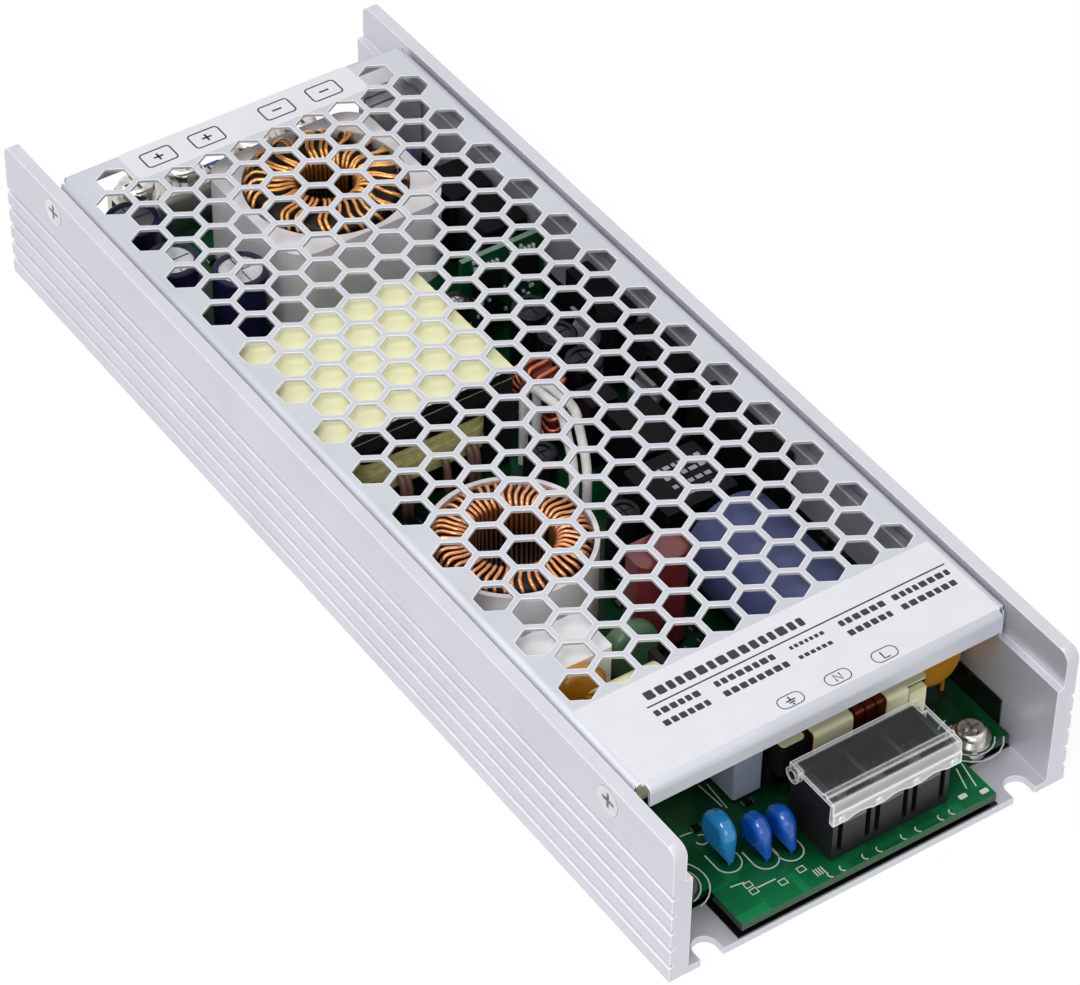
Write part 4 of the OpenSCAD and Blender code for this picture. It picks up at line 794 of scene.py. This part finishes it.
def arc(x, y, r, start, end, steps=12):
    """Points along an arc, with its angles in degrees."""
    turns = [math.radians(start + (end - start) * k / steps) for k in range(steps + 1)]
    return [(x + r * math.cos(a), y + r * math.sin(a)) for a in turns]


print("a rounded plate has", len(rounded(0, 0, 4, 2, 0.5)), "corner points")

# %% Pieces on the frame


def piece(name, made_of, solids, body="chassis", stands_for=(), smooth=False):
    """One object from solids in millimetres, with its finish; it rides on a body of the frame."""
    points, faces = [], []
    for some_points, some_faces in solids:
        first = len(points)
        points += [Vector(p) * MM for p in some_points]
        faces += [[first + i for i in face] for face in some_faces]
    mesh = bpy.data.meshes.new(name)
    mesh.from_pydata(points, [], faces)
    mesh.polygons.foreach_set("use_smooth", [smooth] * len(mesh.polygons))
    mesh.materials.append(finishes[made_of])
    made = bpy.data.objects.new(name, mesh)
    bpy.context.scene.collection.objects.link(made)
    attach(made, body)
    if stands_for:
        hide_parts(*stands_for)
    print(name, "faces:", len(mesh.polygons))


def box_mm(node):
    """Lowest and highest corner of a node, in millimetres."""
    low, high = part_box(node)
    return low / MM, high / MM


print("top of the board:", round(box_mm("main_board")[1].z, 2), "mm")

# %% [markdown]
# ## Ring chokes
#
# A ring choke is wound by hand: the wire goes up through the hole, over the top, down the outside and
# back below, and moves on a little each time. The frame has every turn as a flat loop. Here each strand
# is one long helix of round wire, so that every turn has its own line of light. The turns sway and
# stray a little, as hand winding does. Each coil takes its place and size from the frame's turns; the
# number of turns and the wire are given here.

# %% A coil on a ring
STRAND_PITCH = 1.04


def turn_line(r_in, r_out, height, bend, steps=4):
    """One turn as (radius, z) points: up the hole, over the top, down the outside and back below."""
    corners = ((r_in + bend, height - bend, 180), (r_out - bend, height - bend, 90),
               (r_out - bend, bend, 0), (r_in + bend, bend, -90))
    line = []
    for r, z, start in corners:
        for k in range(steps + 1):
            a = math.radians(start - 90 * k / steps)
            line.append((r + bend * math.cos(a), z + bend * math.sin(a)))
        if start == 180:
            line += [(r + (r_out - r_in - 2 * bend) * k / steps, height) for k in range(1, steps)]
    return line


def ring_coil(turns, strands, wire, r_in, r_out, height, bend, sway, loose):
    """Wire wound on a ring that stands on z = 0; every strand is one helix round the ring's body."""
    line = turn_line(r_in + wire / 2, r_out - wire / 2, height - wire, bend)
    step = math.tau / turns
    coils = []
    for strand in range(strands):
        beside = (strand - (strands - 1) / 2) * wire * STRAND_PITCH
        path = []
        for number in range(turns):
            stray = random.uniform(-loose, loose) * step
            for i, (r, z) in enumerate(line):
                outward = (r - r_in) / (r_out - r_in)
                a = step * (number + i / len(line)) + beside / r + stray * outward
                if z > height / 2:
                    a += sway * step * math.sin(math.tau * outward)
                path.append(Vector((r * math.cos(a), r * math.sin(a), z + wire / 2)))
        coils.append(tube(path, wire / 2))
    return coils


def wind(name, node, made_of, axis, turns, strands, wire, r_in, bend, sway, loose):
    """Winds a coil in the place and size of a node, whose ring lies along Z or stands along X."""
    low, high = box_mm(node)
    middle = (low + high) / 2
    if axis == "Z":
        seat = Matrix.Translation((middle.x, middle.y, low.z))
    else:
        seat = Matrix.Translation((low.x, middle.y, middle.z)) @ Matrix.Rotation(math.pi / 2, 4, "Y")
    r_out = (high.y - low.y) / 2
    height = high.z - low.z if axis == "Z" else high.x - low.x
    coils = ring_coil(turns, strands, wire, r_in, r_out, height, bend, sway, loose)
    placed = [([seat @ p for p in points], faces) for points, faces in coils]
    piece(name, made_of, placed, stands_for=(node,), smooth=True)


print("points in one turn:", len(turn_line(4, 9, 8, 1)))

# %% Three chokes
BOOST_TURNS, BOOST_WIRE, BOOST_GAP = 52, 0.8, 0.07
OUTPUT_TURNS, OUTPUT_WIRE, OUTPUT_STRANDS = 20, 0.82, 2
SMALL_TURNS, SMALL_WIRE, SMALL_HOLE = 16, 0.85, 2.6
wind("boost_coil", "boost_choke_winding", "copper_wire", "Z", BOOST_TURNS, 1, BOOST_WIRE,
     r_in=BOOST_TURNS * (BOOST_WIRE + BOOST_GAP) / math.tau, bend=1.7, sway=0.3, loose=0.22)
wind("output_coil", "output_choke_winding", "copper_gold", "Z", OUTPUT_TURNS, OUTPUT_STRANDS,
     OUTPUT_WIRE, r_in=OUTPUT_TURNS * (2 * OUTPUT_WIRE) / math.tau, bend=2.2, sway=0.22, loose=0.3)
wind("small_coil", "resonant_choke_winding", "red_wire", "X", SMALL_TURNS, 1, SMALL_WIRE,
     r_in=SMALL_HOLE, bend=1.2, sway=0.15, loose=0.12)

# %% [markdown]
# ## Fields on the cover
#
# The field at the input end is printed white over its whole width, and the output end has a smaller
# white field. Print could be a mask in the finish of the cover. Thin plates that lie on the sheet keep
# sharp edges without a fine texture.

# %% Fields on the cover
cover_low, cover_high = box_mm("cover")
SHEET = cover_high.z
FIELD, INK = SHEET + 0.03, SHEET + 0.05
FOLD = 1.6
field_w = cover_high.x - cover_low.x - 2 * FOLD
NEAR_FIELD = (-92.5 + FOLD, -71.6)
FAR_FIELD = (0.2, 87.6, 49.8, 8.4)
NEAR_R, FAR_R = 0.6, 1.2
near_middle, near_depth = sum(NEAR_FIELD) / 2, NEAR_FIELD[1] - NEAR_FIELD[0]
piece("cover_fields", "print_white",
      [plate(rounded(0, near_middle, field_w, near_depth, NEAR_R), SHEET, FIELD),
       plate(rounded(*FAR_FIELD, FAR_R), SHEET, FIELD)])

# %% [markdown]
# ## Ink on the cover
#
# Rows of dark bars stand in the place of words, and each terminal has a plain mark in a round frame.
# Real letters could be set as text objects. Bars keep the weight and rhythm of the rows and say nothing.

# %% Bars in rows
TITLE = {"height": 1.9, "shortest": 1.1, "longest": 1.8, "gap": 0.55}
SMALL = {"height": 1.3, "shortest": 0.9, "longest": 1.4, "gap": 0.4}
TINY = {"height": 0.8, "shortest": 0.6, "longest": 0.9, "gap": 0.35}
RUNS = ((-25.4, -15.5, SMALL), (-13.5, -0.5, SMALL), (1.5, 8.7, TINY),
        (11.6, 21.0, SMALL), (22.6, 34.6, SMALL))
ROWS = (-79.4, -82.0)
TITLE_ROW = (-24.5, 7.2, -75.4)
RULE, RULE_W = [(-25.6, -77.6), (34.8, -77.6)], 0.3


def words(x0, x1, y, height, shortest, longest, gap):
    """A row of bars in the place of words."""
    bars, x = [], x0
    while x < x1 - shortest:
        run = min(random.uniform(shortest, longest), x1 - x)
        bars.append(plate(rounded(x + run / 2, y, run, height, height * 0.15, 2), FIELD, INK))
        x += run + gap
    return bars


ink = words(*TITLE_ROW, **TITLE)
ink.append(stroke(RULE, RULE_W, FIELD, INK))
for row_y in ROWS:
    for start, end, size in RUNS:
        ink += words(start, end, row_y, **size)
print("bars:", len(ink))

# %% Terminal marks
EARTH = [[(0, 0.9), (0, 0)], [(-0.9, 0), (0.9, 0)], [(-0.55, -0.45), (0.55, -0.45)],
         [(-0.2, -0.9), (0.2, -0.9)]]
NEUTRAL = [[(-0.6, -0.8), (-0.6, 0.8), (0.6, -0.8), (0.6, 0.8)]]
LIVE = [[(-0.5, 0.8), (-0.5, -0.8), (0.6, -0.8)]]
MINUS = [[(-1, 0), (1, 0)]]
PLUS = MINUS + [[(0, -1), (0, 1)]]


def framed(marks, mark_y, frame_size, frame_line, mark_line):
    """The marks of one end, each in its round frame."""
    made = []
    for mark_x, lines in marks:
        made.append(stroke(rounded(mark_x, mark_y, *frame_size), frame_line, FIELD, INK, closed=True))
        for line in lines:
            made.append(stroke([(mark_x + x, mark_y + y) for x, y in line], mark_line, FIELD, INK))
    return made


ink += framed(((-5.4, EARTH), (4.1, NEUTRAL), (13.6, LIVE)),
              mark_y=-88.9, frame_size=(4.8, 2.6, 1.2), frame_line=0.18, mark_line=0.28)
ink += framed(((-18.3, PLUS), (-8.0, PLUS), (7.2, MINUS), (17.5, MINUS)),
              mark_y=87.5, frame_size=(6.3, 4.2, 0.7), frame_line=0.32, mark_line=0.45)
piece("cover_ink", "print_dark", ink)

# %% [markdown]
# ## Board print
#
# White marks on the board show where parts go: rings round the screws, open frames round the blue
# capacitors, and short ticks along the terminal block. They are printed with white ink before the parts
# are fitted. They could be a mask in the finish. Here they are thin strokes that lie on the board.

# %% Rings and frames on the board
BOARD = box_mm("main_board")[1].z
MARK = BOARD + 0.04
LINE = 0.24
SCREW_X, SCREW_Y = 30.3, 93.4
RING_ARCS = {-1: (-80, 80), 1: (100, 330)}
RING_RADII = (4.1, 5.6)
FRAME_R = 2.3
lines = []
for side, angles in RING_ARCS.items():
    for end in (-1, 1):
        lines += [arc(side * SCREW_X, end * SCREW_Y, ring, *angles) for ring in RING_RADII]
for foot in ("y_capacitor_1", "y_capacitor_2", "y_capacitor_3"):
    low, high = box_mm(foot)
    foot_x, foot_y = (low.x + high.x) / 2, low.y + 0.4
    bow = arc(foot_x, foot_y + 0.8, FRAME_R, 180, 360)
    lines.append([(foot_x - FRAME_R, foot_y + 4)] + bow + [(foot_x + FRAME_R, foot_y + 3)])
print("rings and frames:", len(lines))

# %% Ticks and pads on the board
BOW_Y, BOW_R = -104.9, 0.7
BOW_X = (-7.5, -5.0, -0.4, 2.5, 7.5, 10.5, 15.2, 17.5)
SQUARES = ((-20.2, -99.4), (-20.2, -101.0), (-15.1, -102.0), (-11.0, -101.4))
PADS = ((20.9, -103.2), (24.6, -104.2), (28.2, -97.0))
COMB_X, COMB_Y, COMB_PITCH, TEETH = -9.6, -103.4, 0.5, 4
SQUARE_SIZE, PAD_SIZE, TOOTH_SIZE = (1.3, 1.1), (1.6, 1.0, 0.3), (0.22, 1.6)
lines += [[(-22.9, -98.2), (-20.4, -98.6)], [(-19.3, -100.7), (-15.7, -100.8)]]
lines += [[(-23.2, -84.7), (-18.2, -85.4)], [(-13.9, -76.7), (-13.5, -83.1)]]
lines.append([(-12.6, -77.6), (-13.0, -83.8)])
lines.append(arc(-20.6, -87.2, 1.1, 180, 450))
lines += [[(23.9, -97.7), (22.5, -102.2)], [(25.4, -97.2), (24.2, -102.6)]]
lines += [arc(x, BOW_Y, BOW_R, 120, 260, 6) for x in BOW_X]
marks = [stroke(line, LINE, BOARD, MARK) for line in lines]
marks += [stroke(rounded(x, y, *SQUARE_SIZE), LINE, BOARD, MARK, closed=True) for x, y in SQUARES]
for k in range(TEETH):
    marks.append(plate(rounded(COMB_X + COMB_PITCH * k, COMB_Y, *TOOTH_SIZE), BOARD, MARK))
marks += [plate(rounded(x, y, *PAD_SIZE), BOARD, MARK) for x, y in PADS]
piece("board_marks", "board_mark", marks)

# %% [markdown]
# ## Chips on the board
#
# Between the large parts the board carries chips and resistors that only show as glints in the depth.
# They could be drawn one by one. A seeded scatter that keeps clear of every larger part gives the same
# look.

# %% Chips on the board
AROUND = ("base_channel", "cover", "cover_screws", "insulation_tray", "main_board", "board_standoffs",
          "board_screws")
CHIP_SIZES = ((5.0, 4.0, 3.2, 24), (3.2, 1.6, 0.9, 90), (2.0, 1.2, 0.8, 160))
CHIP_GAP, CHIP_ROOM = 0.3, 3
BODY_SHARE = 0.7
CAP_AT, CAP_W, CAP_L, CAP_H = 0.42, 0.14, 0.9, 0.7
HALF_X, HALF_Y = 35, 86
taken = [box_mm(name) for name in nodes if name not in AROUND]


def free_spot(w, l):
    """A place on the board for a part of that half size, clear of all the others, or None."""
    for _ in range(40):
        x, y = random.uniform(w - HALF_X, HALF_X - w), random.uniform(l - HALF_Y, HALF_Y - l)
        clear = all(x + w < low.x or x - w > high.x or y + l < low.y or y - l > high.y
                    or low.z > BOARD + CHIP_ROOM for low, high in taken)
        if clear:
            taken.append((Vector((x - w, y - l, BOARD)), Vector((x + w, y + l, BOARD + 2))))
            return x, y
    return None


chips, ends = [], []
for w, l, h, count in CHIP_SIZES:
    for _ in range(count):
        found_spot = free_spot(w / 2 + CHIP_GAP, l / 2 + CHIP_GAP)
        if found_spot:
            x, y = found_spot
            chips.append(plate(rounded(x, y, w * BODY_SHARE, l), BOARD, BOARD + h))
            for side in (-1, 1):
                cap = rounded(x + side * w * CAP_AT, y, w * CAP_W, l * CAP_L)
                ends.append(plate(cap, BOARD, BOARD + h * CAP_H))
piece("board_chips", "package_black", chips)
piece("board_chip_ends", "tinned_copper", ends)

# %% [markdown]
# ## Solder on the control card
#
# The card's chips stand on rows of bright legs, and solder points shine between them. A finer model of
# each chip would be lost behind the honeycomb. Small blocks in flat white along the chips and a seeded
# scatter of points give the glints: a painted highlight in place of the shine of the metal.

# %% Solder on the control card
CHIP_STARTS, CHIP_W = (0.12, 0.56), 0.32
CHIP_FOOT, CHIP_HEAD = 0.55, 0.85
LEGS, LEG_W, LEG_T, LEG_H = 6, 0.45, 0.6, 0.9
POINTS, POINT_W, POINT_T, POINT_H = 30, 0.5, 0.4, 0.6
POINT_FOOT, POINT_EDGE = 0.15, 1
card_low, card_high = box_mm("control_board")
card_w, card_h = card_high.x - card_low.x, card_high.z - card_low.z
glints = []
for start in CHIP_STARTS:
    for k in range(LEGS):
        x = card_low.x + (start + CHIP_W * (k + 0.5) / LEGS) * card_w
        for z in (card_low.z + CHIP_FOOT * card_h - LEG_H, card_low.z + CHIP_HEAD * card_h):
            glints.append(plate(rounded(x, card_low.y - LEG_T / 2, LEG_W, LEG_T), z, z + LEG_H))
for _ in range(POINTS):
    x = random.uniform(card_low.x + POINT_EDGE, card_high.x - POINT_EDGE)
    z = random.uniform(card_low.z + POINT_FOOT * card_h, card_high.z - POINT_EDGE)
    glints.append(plate(rounded(x, card_low.y - POINT_T / 2, POINT_W, POINT_T), z, z + POINT_H))
piece("card_glints", "solder_with_painted_glint", glints)

# %% [markdown]
# ## Transformer leads
#
# The ends of the transformer's winding come out at its side in brown sleeves and bend down to the board.
# A curve with a bevel could draw them. A tube along five points is enough for so short a bend.

# %% Transformer leads
LEAD_SHARES = (0.12, 0.3, 0.34, 0.62, 0.8, 0.84)
LEAD_LINE = ((-0.3, 15), (1.2, 14.6), (1.9, 13), (2.2, 9.5), (2.4, BOARD))
LEAD_R = 0.75
coil_low, coil_high = box_mm("transformer_winding")
leads = []
for share in LEAD_SHARES:
    x = coil_low.x + share * (coil_high.x - coil_low.x)
    leads.append(tube([Vector((x, coil_low.y - out, z)) for out, z in LEAD_LINE], LEAD_R))
piece("transformer_leads", "lead_brown", leads, smooth=True)

# %% [markdown]
# ## Relay bars
#
# A relay carries a few rows of light print on its top. As on the cover, bars stand in the place of words.

# %% Relay bars
BAR_ROWS, ROW_PITCH, BAR_GAP, BAR_H = 4, 2.4, 0.5, 0.9
SHORT_BAR, LONG_BAR, BAR_T = 0.7, 1.6, 0.03
MARGIN_X, MARGIN_Y, MARGIN_END = 5, 3, 2.2
relay_low, relay_high = box_mm("relay")
relay_marks = []
for row in range(BAR_ROWS):
    y = relay_low.y + MARGIN_Y + row * ROW_PITCH
    x = relay_low.x + MARGIN_X
    while x < relay_high.x - MARGIN_END:
        run = random.uniform(SHORT_BAR, LONG_BAR)
        bar = rounded(x + run / 2, y, run, BAR_H)
        relay_marks.append(plate(bar, relay_high.z, relay_high.z + BAR_T))
        x += run + BAR_GAP
piece("relay_bars", "relay_mark", relay_marks)

# %% [markdown]
# ## Broken edges
#
# No punched or moulded edge is perfectly sharp. A narrow bevel on the sheet and on the boxes gives each
# edge a thin line of light. It is a modifier, so the solids from the frame stay as they are.

# %% Broken edges
EDGES = {"cover": 0.14, "base_channel": 0.15, "terminal_block": 0.12, "terminal_cover": 0.12,
         "relay": 0.3, "drive_transformers": 0.3, "x_capacitor_front": 0.3, "x_capacitor_rear": 0.4,
         "transformer_tape": 0.25}
WELD_WITHIN = 0.002 * MM
SHARP = math.radians(40)
for name, width in EDGES.items():
    weld = nodes[name].modifiers.new("weld", "WELD")
    weld.merge_threshold = WELD_WITHIN
    bevel = nodes[name].modifiers.new("bevel", "BEVEL")
    bevel.width = width * MM
    bevel.segments = 2
    bevel.limit_method = "ANGLE"
    bevel.angle_limit = SHARP
print("bevelled:", len(EDGES))
